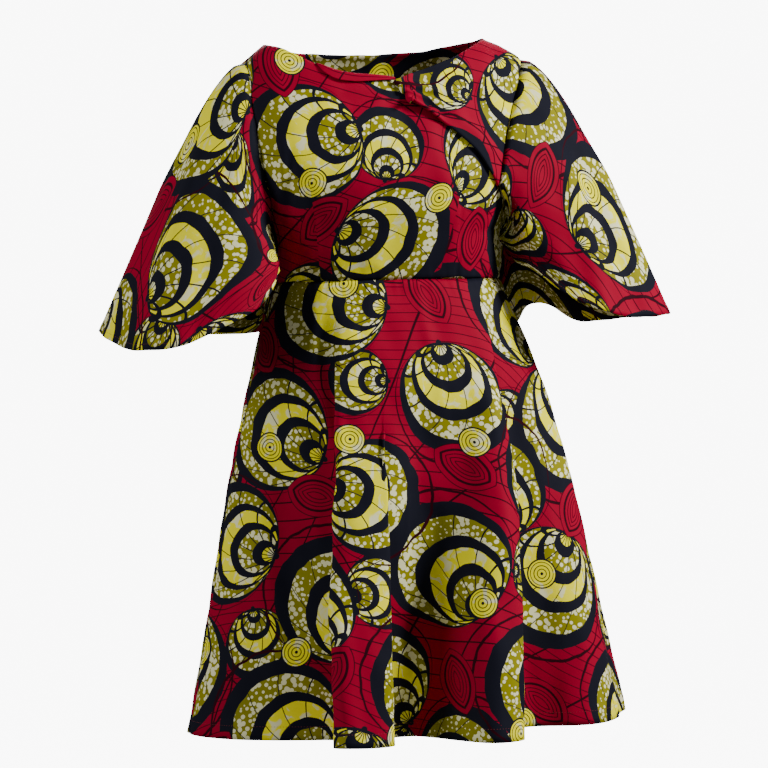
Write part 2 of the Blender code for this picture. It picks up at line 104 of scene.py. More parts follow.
# Edges of the bodice pieces as (x, z) on the form, between the underarm and the shoulder rim
ARMHOLE_RIGHT_FRONT = (
    (-0.1645, -0.233), (-0.168, -0.205), (-0.177, -0.165), (-0.184, -0.125), (-0.187, -0.085),
    (-0.188, -0.040),
)
ARMHOLE_RIGHT_BACK = (
    (-0.164, -0.230), (-0.166, -0.190), (-0.172, -0.130), (-0.181, -0.060), (-0.187, -0.025),
)
ARMHOLE_LEFT_LOWER = ((0.166, -0.229), (0.157, -0.207))
CROSSING = (0.142, -0.180)
ARMHOLE_LEFT_UPPER = ((0.158, -0.125), (0.180, -0.065), (0.197, -0.025))
ARMHOLE_LEFT_BACK = ((0.165, -0.230), (0.168, -0.190), (0.178, -0.130), (0.192, -0.060), (0.202, -0.020))
NECK_TWIST = (0.003, -0.034)
NECK_FRONT_RIGHT = (
    (-0.136, 0.0128), (-0.119, 0.000), (-0.103, -0.0098), (-0.080, -0.0225), (-0.056, -0.0285),
    (-0.028, -0.0316), NECK_TWIST,
)
NECK_FRONT_LEFT = (NECK_TWIST, (0.031, -0.0243), (0.071, -0.0107), (0.116, 0.0085))
NECK_BACK = ((0.110, 0.0215), (0.060, 0.0160), (0.000, 0.0138), (-0.060, 0.0140), (-0.115, 0.0170))
DRAPE_EDGE = ((0.022, -0.060), (0.050, -0.0825), (0.081, -0.106), (0.119, -0.1456), CROSSING)
UNDERLAP_EDGE = (
    NECK_TWIST, (0.016, -0.040), (0.034, -0.055), (0.060, -0.073), (0.089, -0.096), (0.127, -0.136), CROSSING,
)

# How far the layers stand off the form, and their rolled lips
UNDERLAP_DROP = 0.0022
UNDERLAP_EASE = 0.08
UNDERLAP_FROM = 0.55
UNDERLAP_FULL = 0.85
DRAPE_LIFT = 0.0042
DRAPE_REACH = 0.30
TWIST_LIFT = 0.0085
TWIST_REACH = 0.22
LIP_RADIUS = 0.0015
LIP_DEPTH = 0.007
TWIST_RADIUS = 0.0036
TWIST_DEPTH = 0.010
LIP_ROWS = 8
# The row that shows which way the sheet lies, and the flat cut that a lip takes up, in its radii
LIP_PROBE = 4
LIP_CUT = 4
# Where the low edge's lip begins and is full, and the span of the twist's own lip, as shares
LIP_START = 0.05
LIP_RISE = 0.15
TWIST_SPAN = (0.08, 0.92)

# The rolled neck edge: its stretch of the neck, and its size
ROLL_START = 0.42
ROLL_END = 1.0
ROLL_RADIUS = 0.0040
ROLL_DROP = 0.0120
# Along it: the share of the way, then how far it drops and how round it is there
ROLL_TAPERS = (
    (0.0, 0.10, 0.45), (0.07, 0.72, 0.85), (0.16, 1.0, 1.0), (0.45, 0.95, 1.0), (0.72, 0.60, 1.15),
    (0.90, 0.32, 1.05), (1.0, 0.20, 0.70),
)
# Its section as (out, up), in its radii above the edge and in its drop below it
ROLL_SECTION = (
    (0.95, -1.0), (1.0, -0.5), (1.0, 0.0), (0.6, 0.8), (0.0, 1.0), (-0.6, 0.8), (-1.0, 0.0), (-1.0, -0.6),
)
ROLL_SECTION_STEPS = 36

# Cape sleeves: a row for each ruling from the front of the underarm, over the shoulder, to its back
Ruling = namedtuple("Ruling", "along x y z bulge")
SLEEVE_RIGHT = named_rows(
    Ruling,
    (0.00, -0.160, -0.078, -0.293, 0.000),
    (0.25, -0.202, -0.112, -0.337, 0.0055),
    (0.50, -0.255, -0.132, -0.368, 0.011),
    (0.70, -0.319, -0.128, -0.392, 0.0145),
    (0.85, -0.364, -0.088, -0.395, 0.018),
    (1.00, -0.387, -0.015, -0.380, 0.0215),
    (1.20, -0.382, 0.055, -0.368, 0.020),
    (1.45, -0.338, 0.108, -0.371, 0.015),
    (1.65, -0.272, 0.132, -0.378, 0.011),
    (1.82, -0.214, 0.132, -0.378, 0.006),
    (1.92, -0.175, 0.108, -0.378, 0.003),
    (2.00, -0.150, 0.074, -0.375, 0.000),
)
SLEEVE_LEFT = named_rows(
    Ruling,
    (0.00, 0.172, -0.038, -0.264, 0.000),
    (0.12, 0.179, -0.072, -0.285, 0.002),
    (0.25, 0.193, -0.098, -0.296, 0.0055),
    (0.45, 0.249, -0.130, -0.342, 0.011),
    (0.65, 0.314, -0.132, -0.364, 0.018),
    (0.82, 0.377, -0.107, -0.364, 0.022),
    (1.00, 0.412, -0.045, -0.364, 0.0265),
    (1.20, 0.406, 0.030, -0.367, 0.0245),
    (1.42, 0.365, 0.092, -0.371, 0.020),
    (1.58, 0.322, 0.122, -0.367, 0.013),
    (1.67, 0.299, 0.131, -0.350, 0.010),
    (1.75, 0.276, 0.131, -0.344, 0.007),
    (1.82, 0.253, 0.122, -0.351, 0.005),
    (1.87, 0.240, 0.112, -0.369, 0.004),
    (1.93, 0.220, 0.090, -0.379, 0.003),
    (2.00, 0.200, 0.051, -0.373, 0.000),
)
# The share of the armhole left free at each end, and where along a ruling its bow is fullest
SLEEVE_START = 0.03
BOW_SKEW = 0.52

# Skirt: the ring that runs through the valleys, from the waist to the hem
Ring = namedtuple("Ring", "down right left front back")
SKIRT_RINGS = named_rows(
    Ring,
    (0.00, 0.154, 0.170, 0.112, 0.098),
    (0.15, 0.176, 0.207, 0.124, 0.122),
    (0.40, 0.213, 0.262, 0.134, 0.142),
    (0.70, 0.249, 0.307, 0.143, 0.154),
    (1.00, 0.285, 0.347, 0.150, 0.162),
)
# Its folds: the angle of each foot and crest at the waist and the hem, in degrees from the right side
# round the front. The tucks draw the crest out over its foot. A fold grows from its onset to the hem.
Fold = namedtuple("Fold", "top_a top_crest top_b hem_a hem_crest hem_b depth tuck_a tuck_b onset fade")
SKIRT_FOLDS = named_rows(
    Fold,
    (50, 65, 92, 62, 73.5, 86.5, 0.088, 0.34, 0.27, 0.03, None),
    (66, 92, 118, 75, 86, 99, 0.085, 0.0, 0.0, 0.03, 0.36),
    (92, 122, 148, 88, 103, 112.5, 0.110, 0.0, 0.34, 0.00, None),
    (140, 158, 178, 117, 134, 162, 0.040, 0.0, 0.0, 0.10, None),
    (186, 200, 218, 184, 201, 216, 0.055, 0.0, 0.20, 0.10, None),
    (216, 236, 254, 219, 236, 251, 0.080, 0.22, 0.16, 0.06, None),
    (256, 272, 288, 256, 270, 284, 0.070, 0.14, 0.26, 0.14, None),
    (290, 309, 334, 291, 310, 331, 0.058, 0.20, 0.10, 0.05, None),
)
# How a fold grows and its angles drift with the way down, where one has faded, how early the tucks
# come in, and where the ring has become round
FOLD_GROWTH = 0.95
ANGLE_DRIFT = 0.55
FADED_BY = 0.80
TUCK_LEAD = 2.2
ROUND_BY = 0.35

# Faces along and across each piece, first as its solid has them and then how many times finer
Mesh = namedtuple("Mesh", "columns rows")
SLEEVE_MESH = Mesh(120, 48)
SKIRT_FRONT_MESH = Mesh(330, 78)
SKIRT_BACK_MESH = Mesh(300, 72)
ROW_CROWD = 1.1
BODICE_FRONT_COLUMNS = {"shoulder": 3, "neck": 12, "underlap": 11, "armhole": 4}
BODICE_FRONT_ROWS = 12
BODICE_BACK_COLUMNS = {"shoulder": 3, "neck": 18}
BODICE_BACK_ROWS = 11
DRAPE_COLUMNS = {"neck": 11, "shoulder": 3}
DRAPE_ROWS = 9
ROLL_COLUMNS = 60
BODICE_FINER = 5
SIDE_SEAM_SHARE = 0.22
GIRTH_STEPS = 161
FINE = 240
RING_STEPS = 2400
RIM_ROUNDS = 5
RELAX_ROUNDS = 3
TINY = 1e-9

# Creases on a piece's flat cut, in metres: from a to b, with half width and height (troughs below 0)
Crease = namedtuple("Crease", "a_u a_v b_u b_v width height")
FRONT_CREASES = named_rows(
    Crease,
    (-0.131, -0.166, -0.106, -0.330, 0.0020, -0.0013),
    (0.093, -0.105, 0.087, -0.190, 0.0016, -0.0011),
    (0.087, -0.165, 0.082, -0.330, 0.0020, -0.0010),
    (-0.160, -0.110, -0.168, -0.175, 0.0090, 0.0030),
    (-0.165, -0.155, -0.190, -0.245, 0.0080, 0.0026),
    (-0.150, -0.120, -0.164, -0.235, 0.0070, -0.0022),
    (-0.006, -0.046, -0.074, -0.074, 0.0060, -0.0022),
    (-0.002, -0.054, -0.050, -0.110, 0.0080, -0.0020),
    (-0.020, -0.043, -0.095, -0.052, 0.0060, 0.0018),
    (0.012, -0.066, 0.010, -0.150, 0.0120, -0.0018),
    (0.040, -0.090, 0.060, -0.190, 0.0140, 0.0020),
    (0.130, -0.165, 0.070, -0.215, 0.0090, -0.0016),
    (0.190, -0.235, 0.110, -0.245, 0.0070, -0.0014),
    (-0.190, -0.225, -0.120, -0.240, 0.0070, -0.0014),
    (-0.060, -0.280, 0.010, -0.300, 0.0060, 0.0008),
)
BACK_CREASES = named_rows(
    Crease,
    (0.000, 0.030, 0.000, -0.330, 0.0012, -0.0010),
    (-0.092, -0.150, -0.086, -0.330, 0.0020, -0.0012),
    (0.092, -0.150, 0.086, -0.330, 0.0020, -0.0012),
    (-0.190, -0.215, -0.110, -0.245, 0.0090, -0.0018),
    (0.190, -0.215, 0.120, -0.235, 0.0090, -0.0018),
    (-0.120, -0.020, -0.060, -0.075, 0.0110, 0.0020),
    (0.110, -0.030, 0.050, -0.090, 0.0120, 0.0018),
    (-0.050, -0.265, 0.040, -0.285, 0.0080, 0.0012),
)
DRAPE_CREASES = named_rows(
    Crease,
    (0.002, -0.047, 0.074, -0.085, 0.0042, -0.0044),
    (-0.004, -0.041, 0.092, -0.064, 0.0050, -0.0040),
    (0.000, -0.034, 0.088, -0.038, 0.0055, -0.0032),
    (0.004, -0.053, 0.066, -0.095, 0.0034, 0.0030),
    (-0.002, -0.044, 0.080, -0.074, 0.0036, 0.0028),
    (0.004, -0.038, 0.070, -0.050, 0.0040, 0.0024),
    (0.070, -0.070, 0.150, -0.150, 0.0100, 0.0034),
    (0.100, -0.030, 0.170, -0.120, 0.0130, -0.0032),
)
SLEEVE_CREASES = named_rows(
    Crease,
    (-0.105, 0.030, -0.190, 0.330, 0.0160, -0.0050),
    (-0.060, 0.060, -0.120, 0.330, 0.0180, 0.0050),
    (-0.020, 0.040, -0.045, 0.360, 0.0200, -0.0040),
    (0.030, 0.080, 0.060, 0.380, 0.0180, 0.0044),
    (0.070, 0.030, 0.140, 0.350, 0.0170, -0.0050),
    (0.105, 0.070, 0.200, 0.330, 0.0150, 0.0046),
)
SLEEVE_RIGHT_CREASES = SLEEVE_CREASES + named_rows(
    Crease,
    (-0.165, 0.090, -0.315, 0.330, 0.0600, 0.0150),
    (0.150, 0.050, 0.310, 0.270, 0.0340, 0.0100),
)
SKIRT_FRONT_CREASES = named_rows(
    Crease,
    (-0.175, -0.020, -0.290, 0.470, 0.0150, -0.0026),
    (-0.120, -0.030, -0.200, 0.400, 0.0120, 0.0024),
    (-0.060, -0.010, -0.090, 0.180, 0.0080, -0.0016),
    (0.015, -0.010, 0.020, 0.200, 0.0090, 0.0018),
    (0.100, -0.020, 0.160, 0.260, 0.0100, -0.0020),
    (0.165, -0.020, 0.330, 0.500, 0.0160, -0.0036),
    (0.200, -0.010, 0.420, 0.560, 0.0180, 0.0036),
    (0.084, 0.120, 0.092, 0.460, 0.0190, 0.0095),
    (-0.016, 0.150, -0.010, 0.560, 0.0400, -0.0160),
    (0.034, 0.170, 0.044, 0.440, 0.0240, -0.0050),
    (-0.104, 0.040, -0.152, 0.330, 0.0100, 0.0052),
    (-0.124, 0.040, -0.174, 0.330, 0.0120, -0.0056),
    (-0.240, 0.150, -0.330, 0.520, 0.0300, -0.0080),
    (-0.188, 0.380, -0.242, 0.740, 0.0160, 0.0095),
)
SKIRT_BACK_CREASES = named_rows(
    Crease,
    (-0.150, -0.020, -0.260, 0.420, 0.0140, -0.0026),
    (-0.070, -0.010, -0.110, 0.260, 0.0100, 0.0020),
    (0.060, -0.010, 0.100, 0.300, 0.0110, -0.0022),
    (0.150, -0.020, 0.270, 0.440, 0.0150, 0.0028),
)
# The share of its length over which a crease fades out at each end
CREASE_END = 0.22

# How far a sewn edge runs on past its seam and inwards, to meet the piece it is sewn to
SEAM_TUCK = 0.0009
# The rims of the front and the back meet where they are this near the shoulder line, above a height
SHOULDER_TUCK = 0.0002
SHOULDER_NEAR = 0.0035
SHOULDER_FROM_Z = -0.012

# Darts on the flat cut of the bodice front: from a to b, with the width taken in at b
Dart = namedtuple("Dart", "a_u a_v b_u b_v intake")
FRONT_DARTS = named_rows(
    Dart,
    (-0.131, -0.166, -0.106, -0.330, 0.034),
    (0.093, -0.105, 0.082, -0.330, 0.024),
)

# Soft uneven waves in the cloth: lengths across and down, height, and a phase
Wave = namedtuple("Wave", "across down height phase")
WAVES = named_rows(
    Wave,
    (0.061, 0.230, 0.00050, 0.4),
    (0.037, -0.140, 0.00028, 2.1),
    (-0.090, 0.110, 0.00050, 4.0),
)

# Sewing: puckers along a seam as (share, rate, phase), and how far they reach in seam widths
PUCKER_WAVES = ((1.0, 1.0, 0.0), (0.6, 1.7, 1.3), (0.4, 0.43, 0.7))
PUCKER_REACH = 4
# A turned hem: how wide its step rises, then its ripple's share of the step, its pitch and its reach
HEM_EASE = 0.003
HEM_RIPPLE = 0.25
HEM_RIPPLE_PITCH = 0.021
HEM_RIPPLE_REACH = 0.006
# How far the stitches stand in from the hem's turned edge
STITCH_INSET = 0.0015

# Where each piece is cut from the printed cloth, so that neighbours don't repeat each other
PRINT_PLACES = {
    "bodice_back": (0.90, 0.31),
    "shoulder_drape": (0.21, 0.43),
    "neck_roll": (0.02, 0.06),
    "sleeve_left": (0.21, 0.43),
    "skirt_front": (0.37, -0.22),
    "skirt_back": (1.40, 0.15),
}
# The stretch of the armhole where a sleeve's print runs on from the bodice's
SLEEVE_MATCH = (0.55, 1.0)

# Bands of a nested disc, from its core out: where each starts, and whether it is yellow or olive
YELLOW = (1, 0, 0)
OLIVE = (0, 1, 0)
DARK = (0, 0, 0)
DISC_BANDS = (
    (0.000, YELLOW), (0.115, DARK), (0.205, OLIVE), (0.345, DARK), (0.445, YELLOW), (0.590, DARK),
    (0.695, OLIVE), (0.865, DARK),
)
# Dark lines of a leaf and rings of a spot, from the middle out
LEAF_LINES = (
    (0.00, DARK), (0.13, YELLOW), (0.17, DARK), (0.30, YELLOW), (0.34, DARK), (0.47, YELLOW), (0.51, DARK),
    (0.64, YELLOW), (0.75, DARK), (0.96, YELLOW),
)
BUTTON_RINGS = (
    (0.00, YELLOW), (0.10, DARK), (0.27, YELLOW), (0.33, DARK), (0.50, YELLOW), (0.56, DARK), (0.74, YELLOW),
    (0.79, DARK), (0.90, YELLOW),
)

# The lattices of the print, one motif to a cell
Lattice = namedtuple("Lattice", "pitch phase seed jitter")
BIG_PITCH = (0.262, 0.250)
# Nested discs, from the lowest laid to the uppermost: lattice and radius
DISCS = (
    (Lattice(BIG_PITCH, (0.5, 0.0), 3.0, 0.05), 0.050),
    (Lattice(BIG_PITCH, (0.0, 0.0), 1.0, 0.04), 0.086),
    (Lattice(BIG_PITCH, (0.5, 0.5), 7.0, 0.04), 0.086),
)
LEAVES = Lattice(BIG_PITCH, (0.0, 0.5), 9.0, 0.05)
LEAF_HALF_LENGTH = 0.046
LEAF_HALF_WIDTH = 0.029
BUTTONS = Lattice((0.205, 0.223), (0.2, 0.3), 5.0, 0.10)
BUTTON_RADIUS = 0.021
# A disc's size by chance, the dark rungs across its bands, and the thin ring round it
DISC_LEAST = 0.90
DISC_SPREAD = 0.14
RUNGS_ROUND = 3.1
RUNGS_LEAN = 1.9
RUNG_WIDTH = 0.0020
NO_WIDTH = 0.0001
ECHO_AT = 1.10
ECHO_WIDTH = 0.012

# Lines of the ground: their slopes, how far they sway and at what scale, their pitch and share
Lines = namedtuple("Lines", "across down sway scale pitch share")
THIN_LINES = Lines(0.30, 0.95, 0.13, 3.2, 0.0165, 0.040)
BOLD_LINES = Lines(0.80, -0.60, 0.22, 2.1, 0.081, 0.016)

# The dye's unevenness: scales over the cloth, and how the crackle and the dots follow them
WOBBLE_SCALE = 40.0
WOBBLE = 0.035
FLECK_SCALE = 62.0
FLECK_WARP = 0.8
WASH_SCALE = 26.0
WASH_WARP = 0.4
FLECK_SHARE = 0.7
WASH_SHARE = 0.3
CRACKLE_FROM = 0.525
CRACKLE_EDGE = 12.0
DOT_SCALE = 128.0
DOT_GROWTH = 0.85
DOT_LEAST = 0.08

# The cotton's surface
THREAD_PITCH = 0.0011
RUMPLE_SCALE = 34.0
RUMPLE_HEIGHT = 2.2
WEAVE_HEIGHT = 0.10
BUMP_STRENGTH = 0.30
BUMP_DEPTH = 0.0006
ROUGHNESS = 0.66
ROUGHNESS_SPREAD = 0.16
COTTON_SPECULAR = 0.06
THREAD_ROUGHNESS = 0.5
TONE_SCALE = 3.0
TONE_SHARE = 0.04

# The room: a floor that curves up into a round wall, and its light
ROOM_SIDES = 96
ROOM_FLOOR_RINGS = 8
ROOM_CURVE_RINGS = 16
ROOM_FLOOR_Z = -1.36
ROOM_RADIUS = 7.5
ROOM_CURVE = 2.0
ROOM_TOP_Z = 4.0
ROOM_MIDDLE = 0.001
ROOM_ROUGHNESS = 0.9
ROOM_SPECULAR = 0.1
ROOM_GLOW = 9.0
ROOM_LIGHT = 0.20

# Lamps: the side they stand on, in degrees from the front towards the wearer's left, their height,
# distance and width in metres, their power in watts, and the spread of their light in degrees
Lamp = namedtuple("Lamp", "turn height distance size power spread")
LAMPS = {
    "key_lamp": Lamp(57, 1.65, 3.9, 1.0, 38, 64),
    "fill_lamp": Lamp(-80, 0.9, 4.2, 2.0, 14.0, 60),
    "back_lamp": Lamp(165, 1.7, 4.0, 2.0, 30, 64),
}
LAMP_AIM = Vector((0.05, 0.0, -0.25))

# Camera: how it stands to the dress, and the width of the picture in pixels at its focal length
CAMERA_TURN = math.radians(-15.0)
CAMERA_DISTANCE = 4.0
CAMERA_Z = -0.335
CAMERA_ROLL = math.radians(1.3)
CAMERA_TARGET = Vector((0.004, 0.0, -0.452))
SENSOR = 36.0
PICTURE = 768
FOCAL_PIXELS = 2856


def colour(name, text, red, green, blue):
    """Return a colour property, given as linear light."""
    return bpy.props.FloatVectorProperty(
        name=name, description=text, default=(red, green, blue), subtype="COLOR", size=3, min=0.0, max=1.0,
    )


def length(name, text, metres):
    """Return a length property."""
    return bpy.props.FloatProperty(name=name, description=text, default=metres, unit="LENGTH", precision=5)


class DressSizes(bpy.types.PropertyGroup):
    """Sizes of the cloth and its sewing."""

    cloth: length("Cloth", "Thickness of the printed cotton with its turnings", 0.0010)
    seam_hollow: length("Seam hollow", "How far a seam draws the cloth in", 0.0011)
    seam_width: length("Seam width", "How far from a seam the cloth bends in", 0.0028)
    pucker: length("Pucker", "Height of the small puckers along a seam", 0.00045)
    pucker_pitch: length("Pucker pitch", "Distance between the puckers along a seam", 0.017)
    hem_turning: length("Hem turning", "Width of the turned skirt hem", 0.020)
    sleeve_turning: length("Sleeve turning", "Width of the turned sleeve hem", 0.010)
    hem_step: length("Hem step", "How far a turned hem stands out", 0.0006)
    stitch: length("Stitch", "Length of one stitch", 0.0030)
    stitch_gap: length("Stitch gap", "Gap between two stitches", 0.0011)
    thread: length("Thread", "Thickness of the sewing thread", 0.0005)


class DressColours(bpy.types.PropertyGroup):
    """Colours of the print, and of the room."""

    crimson: colour("Crimson", "Ground of the print", 0.315, 0.000, 0.022)
    line: colour("Line", "Thin lines on the ground", 0.030, 0.001, 0.006)
    navy: colour("Navy", "Dark bands", 0.0080, 0.0085, 0.016)
    yellow: colour("Yellow", "Bright bands", 0.93, 0.85, 0.004)
    cream: colour("Cream", "Crackle in the bright bands", 0.84, 0.82, 0.47)
    olive: colour("Olive", "Dotted bands", 0.25, 0.230, 0.006)
    thread: colour("Thread", "Sewing thread", 0.22, 0.003, 0.012)
    room: colour("Room", "Floor and wall", 0.90, 0.90, 0.90)


def smooth(keys, values, at):
    """Return a cubic curve through the keyed values, sloped by their neighbours."""
    keys = np.asarray(keys, float)
    values = np.asarray(values, float)
    at = np.asarray(at, float)
    slopes = np.gradient(values, keys, axis=0)
    left = np.clip(np.searchsorted(keys, at, side="right") - 1, 0, len(keys) - 2)
    span = keys[left + 1] - keys[left]
    f = (at - keys[left]) / span
    if values.ndim > 1:
        span = span[..., None]
        f = f[..., None]
    near = values[left] * (1 + 2 * f) * (1 - f) ** 2 + slopes[left] * span * f * (1 - f) ** 2
    far = values[left + 1] * f ** 2 * (3 - 2 * f) - slopes[left + 1] * span * f ** 2 * (1 - f)
    return near + far


def read_table(table, at):
    """Return a smooth reading of a table's rows, whose first column says where each of them lies."""
    return smooth([row[0] for row in table], [row[1:] for row in table], at)


def ease(value):
    """Return 0 to 1 with soft ends."""
    value = np.clip(value, 0.0, 1.0)
    return value * value * (3 - 2 * value)


def lengths(points):
    """Return the length along a row of points, from its first."""
    steps = np.linalg.norm(np.diff(points, axis=0), axis=1)
    return np.concatenate([[0.0], np.cumsum(steps)])


def unit(vectors):
    """Return the vectors at a length of one."""
    return vectors / np.maximum(np.linalg.norm(vectors, axis=-1, keepdims=True), TINY)


def read_rows(at, keys, table):
    """Return a table's rows read off at places along its keys."""
    return np.stack([np.interp(at, keys, column) for column in np.transpose(table)], axis=1)


def evenly(points, shares):
    """Return the places on a row of points at these shares of its length."""
    along = lengths(points)
    return read_rows(np.asarray(shares) * along[-1], along, points)


def form_level(x, z):
    """Return the (right, left, front, back) sizes of the form at these points."""
    tilt = SHOULDER_TILT * x * np.clip((z - TILT_START_Z) / -TILT_START_Z, 0, 1)
    return read_table(BODICE_LEVELS, np.clip(z - tilt, BODICE_LEVELS[0].z, BODICE_LEVELS[-1].z))


def form_half(x, z):
    """Return the form's half width on the side where x lies."""
    sizes = form_level(x, z)
    return np.where(x < 0, sizes[..., 0], sizes[..., 1])


def form_rim(side, z):
    """Return the form's half width at its rim, out on one side."""
    half = np.full_like(np.asarray(z, float), BODICE_LEVELS[0].right)
    for _ in range(RIM_ROUNDS):
        half = form_half(side * half, z)
    return half


def form_point(x, z, face, lift=0.0):
    """Return points on the worn form, in front (face -1) or behind (face 1), lifted off it."""
    x = np.asarray(x, float)
    z = np.asarray(z, float)
    sizes = form_level(x, z)
    half = form_half(x, z)
    depth = sizes[..., 2] if face < 0 else sizes[..., 3]
    across = np.clip(1 - np.clip(np.abs(x) / half, 0, 1) ** FORM_POWER, 0, 1) ** (1 / FORM_POWER)
    ridge = SEAM_GAP / 2 + RIDGE_GAP / 2 * ease(1 + z / SHOULDER_REACH)
    y = face * (depth * across + ridge)
    slant = np.stack([x / half ** 2, y / depth ** 2, np.zeros_like(y)], axis=-1)
    return np.stack([x, y, z], axis=-1) + unit(slant) * np.asarray(lift)[..., None]


def girth_table(side, z, face):
    """Return x and the length round the form from its middle, out to one side, for each height."""
    turn = np.sin(np.linspace(0, np.pi / 2, GIRTH_STEPS))
    heights = np.repeat(z[:, None], GIRTH_STEPS, axis=1)
    x = side[:, None] * turn * form_rim(side, z)[:, None]
    points = form_point(x, heights, face)
    steps = np.linalg.norm(np.diff(points[..., :2], axis=1), axis=-1)
    return x, np.concatenate([np.zeros((len(z), 1)), np.cumsum(steps, axis=1)], axis=1)


def read_across(keys, values, at):
    """Return one value for each row, read off that row's own rising keys."""
    high = np.clip((keys < at[:, None]).sum(axis=1), 1, keys.shape[1] - 1)
    row = np.arange(len(at))
    span = np.maximum(keys[row, high] - keys[row, high - 1], TINY)
    f = np.clip((at - keys[row, high - 1]) / span, 0, 1)
    return values[row, high - 1] * (1 - f) + values[row, high] * f


def unroll(edge, face):
    """Return (x, z) points as (girth, z): the length round the form from its middle, and the height."""
    edge = np.asarray(edge, float)
    side = np.where(edge[:, 0] < 0, -1.0, 1.0)
    x, girth = girth_table(side, edge[:, 1], face)
    return np.column_stack([side * read_across(np.abs(x), girth, np.abs(edge[:, 0])), edge[:, 1]])


def roll_up(flat, face, lift):
    """Return points on the form for a grid of (girth, z)."""
    girth = flat[..., 0].ravel()
    z = flat[..., 1].ravel()
    side = np.where(girth < 0, -1.0, 1.0)
    x, table = girth_table(side, z, face)
    found = read_across(table, x, np.abs(girth)).reshape(flat.shape[:-1])
    return form_point(found, flat[..., 1], face, lift)


def patch(low, high, start, end):
    """Return the four-sided patch between two long edges and two side edges, its inside evened out."""
    u = np.linspace(0, 1, len(low))[None, :, None]
    v = np.linspace(0, 1, len(start))[:, None, None]
    sides = (1 - v) * low + v * high + (1 - u) * start[:, None] + u * end[:, None]
    corners = (1 - u) * ((1 - v) * low[0] + v * high[0]) + u * ((1 - v) * low[-1] + v * high[-1])
    grid = sides - corners
    for _ in range(RELAX_ROUNDS):
        across = grid[1:-1, :-2] + grid[1:-1, 2:]
        along = grid[:-2, 1:-1] + grid[2:, 1:-1]
        grid[1:-1, 1:-1] = (across + along) / 4
    return grid


def refine(grid, times):
    """Return a grid with each of its faces divided, smooth both ways."""
    for _ in range(2):
        count = len(grid)
        at = np.linspace(0, count - 1, (count - 1) * times + 1)
        flat = smooth(np.arange(count), grid.reshape(count, -1), at)
        grid = np.swapaxes(flat.reshape(len(at), *grid.shape[1:]), 0, 1)
    return grid


def shares_of(grid):
    """Return how far along and up a grid each of its points is, from 0 to 1."""
    rows, columns = grid.shape[:2]
    return np.linspace(0, 1, columns)[None, :], np.linspace(0, 1, rows)[:, None]


def rim_point(side, height):
    """Return (x, z) on the rim of the form, where its front and back meet."""
    return side * float(form_rim(side, height)), height


def edge_curve(edge, shares, face):
    """Return (girth, z) along an edge given as (x, z), even in length."""
    points = np.asarray(edge, float)
    fine = smooth(lengths(points), points, np.linspace(0, lengths(points)[-1], FINE))
    return evenly(unroll(fine, face), shares)


def rim_curve(side, from_z, to_z, faces, face):
    """Return (girth, z) along the rim: a side seam or a shoulder seam."""
    points = [rim_point(side, height) for height in np.linspace(from_z, to_z, faces + 1)]
    return unroll(points, face)


def armhole(side, points):
    """Return a whole armhole edge as (x, z), from the underarm to the shoulder rim."""
    shoulder_z = SHOULDER_RIGHT_Z if side < 0 else SHOULDER_LEFT_Z
    return (rim_point(side, UNDERARM_Z),) + points + (rim_point(side, shoulder_z),)


def side_edge(side, upper, rows, face):
    """Return a bodice side, up its side seam and the edge above it, as (girth, z)."""
    seam_rows = max(2, round(rows * SIDE_SEAM_SHARE))
    seam = rim_curve(side, WAIST_Z, UNDERARM_Z, seam_rows, face)
    return np.concatenate([seam, edge_curve(upper, np.linspace(0, 1, rows - seam_rows + 1)[1:], face)])


def bodice_front():
    """Return the bodice front and its flat cut; it runs in under the drape along its crossing edge."""
    counts = BODICE_FRONT_COLUMNS
    neck = (rim_point(-1, NECK_RIGHT_Z),) + NECK_FRONT_RIGHT
    top = np.concatenate([
        rim_curve(-1, SHOULDER_RIGHT_Z, NECK_RIGHT_Z, counts["shoulder"], -1),
        edge_curve(neck, np.linspace(0, 1, counts["neck"] + 1)[1:], -1),
        edge_curve(UNDERLAP_EDGE, np.linspace(0, 1, counts["underlap"] + 1)[1:], -1),
        edge_curve(lower_armhole_left(), np.linspace(1, 0, counts["armhole"] + 1)[1:], -1),
    ])
    right = side_edge(-1, armhole(-1, ARMHOLE_RIGHT_FRONT), BODICE_FRONT_ROWS, -1)
    left = rim_curve(1, WAIST_Z, UNDERARM_Z, BODICE_FRONT_ROWS, -1)
    columns = sum(counts.values())
    waist = np.linspace(right[0], left[0], columns + 1)
    cut = refine(patch(waist, top, right, left), BODICE_FINER)
    u, v = shares_of(cut)
    first = (counts["shoulder"] + counts["neck"]) / columns
    last = 1 - counts["armhole"] / columns
    under = ease((u - first) / UNDERLAP_EASE + 1) * ease((last - u) / UNDERLAP_EASE)
    under = under * ease((v - UNDERLAP_FROM) / (UNDERLAP_FULL - UNDERLAP_FROM))
    return roll_up(cut, -1, -UNDERLAP_DROP * under), cut


def bodice_back():
    """Return the bodice back, from the wearer's left side to the right, and its flat cut."""
    counts = BODICE_BACK_COLUMNS
    neck = (rim_point(1, NECK_LEFT_Z),) + NECK_BACK + (rim_point(-1, NECK_RIGHT_Z),)
    top = np.concatenate([
        rim_curve(1, SHOULDER_LEFT_Z, NECK_LEFT_Z, counts["shoulder"], 1),
        edge_curve(neck, np.linspace(0, 1, counts["neck"] + 1)[1:], 1),
        rim_curve(-1, NECK_RIGHT_Z, SHOULDER_RIGHT_Z, counts["shoulder"], 1)[1:],
    ])
    left = side_edge(1, armhole(1, ARMHOLE_LEFT_BACK), BODICE_BACK_ROWS, 1)
    right = side_edge(-1, armhole(-1, ARMHOLE_RIGHT_BACK), BODICE_BACK_ROWS, 1)
    waist = np.linspace(left[0], right[0], len(top))
    cut = refine(patch(waist, top, left, right), BODICE_FINER)
    return roll_up(cut, 1, np.zeros(cut.shape[:-1])), cut * (-1, 1)


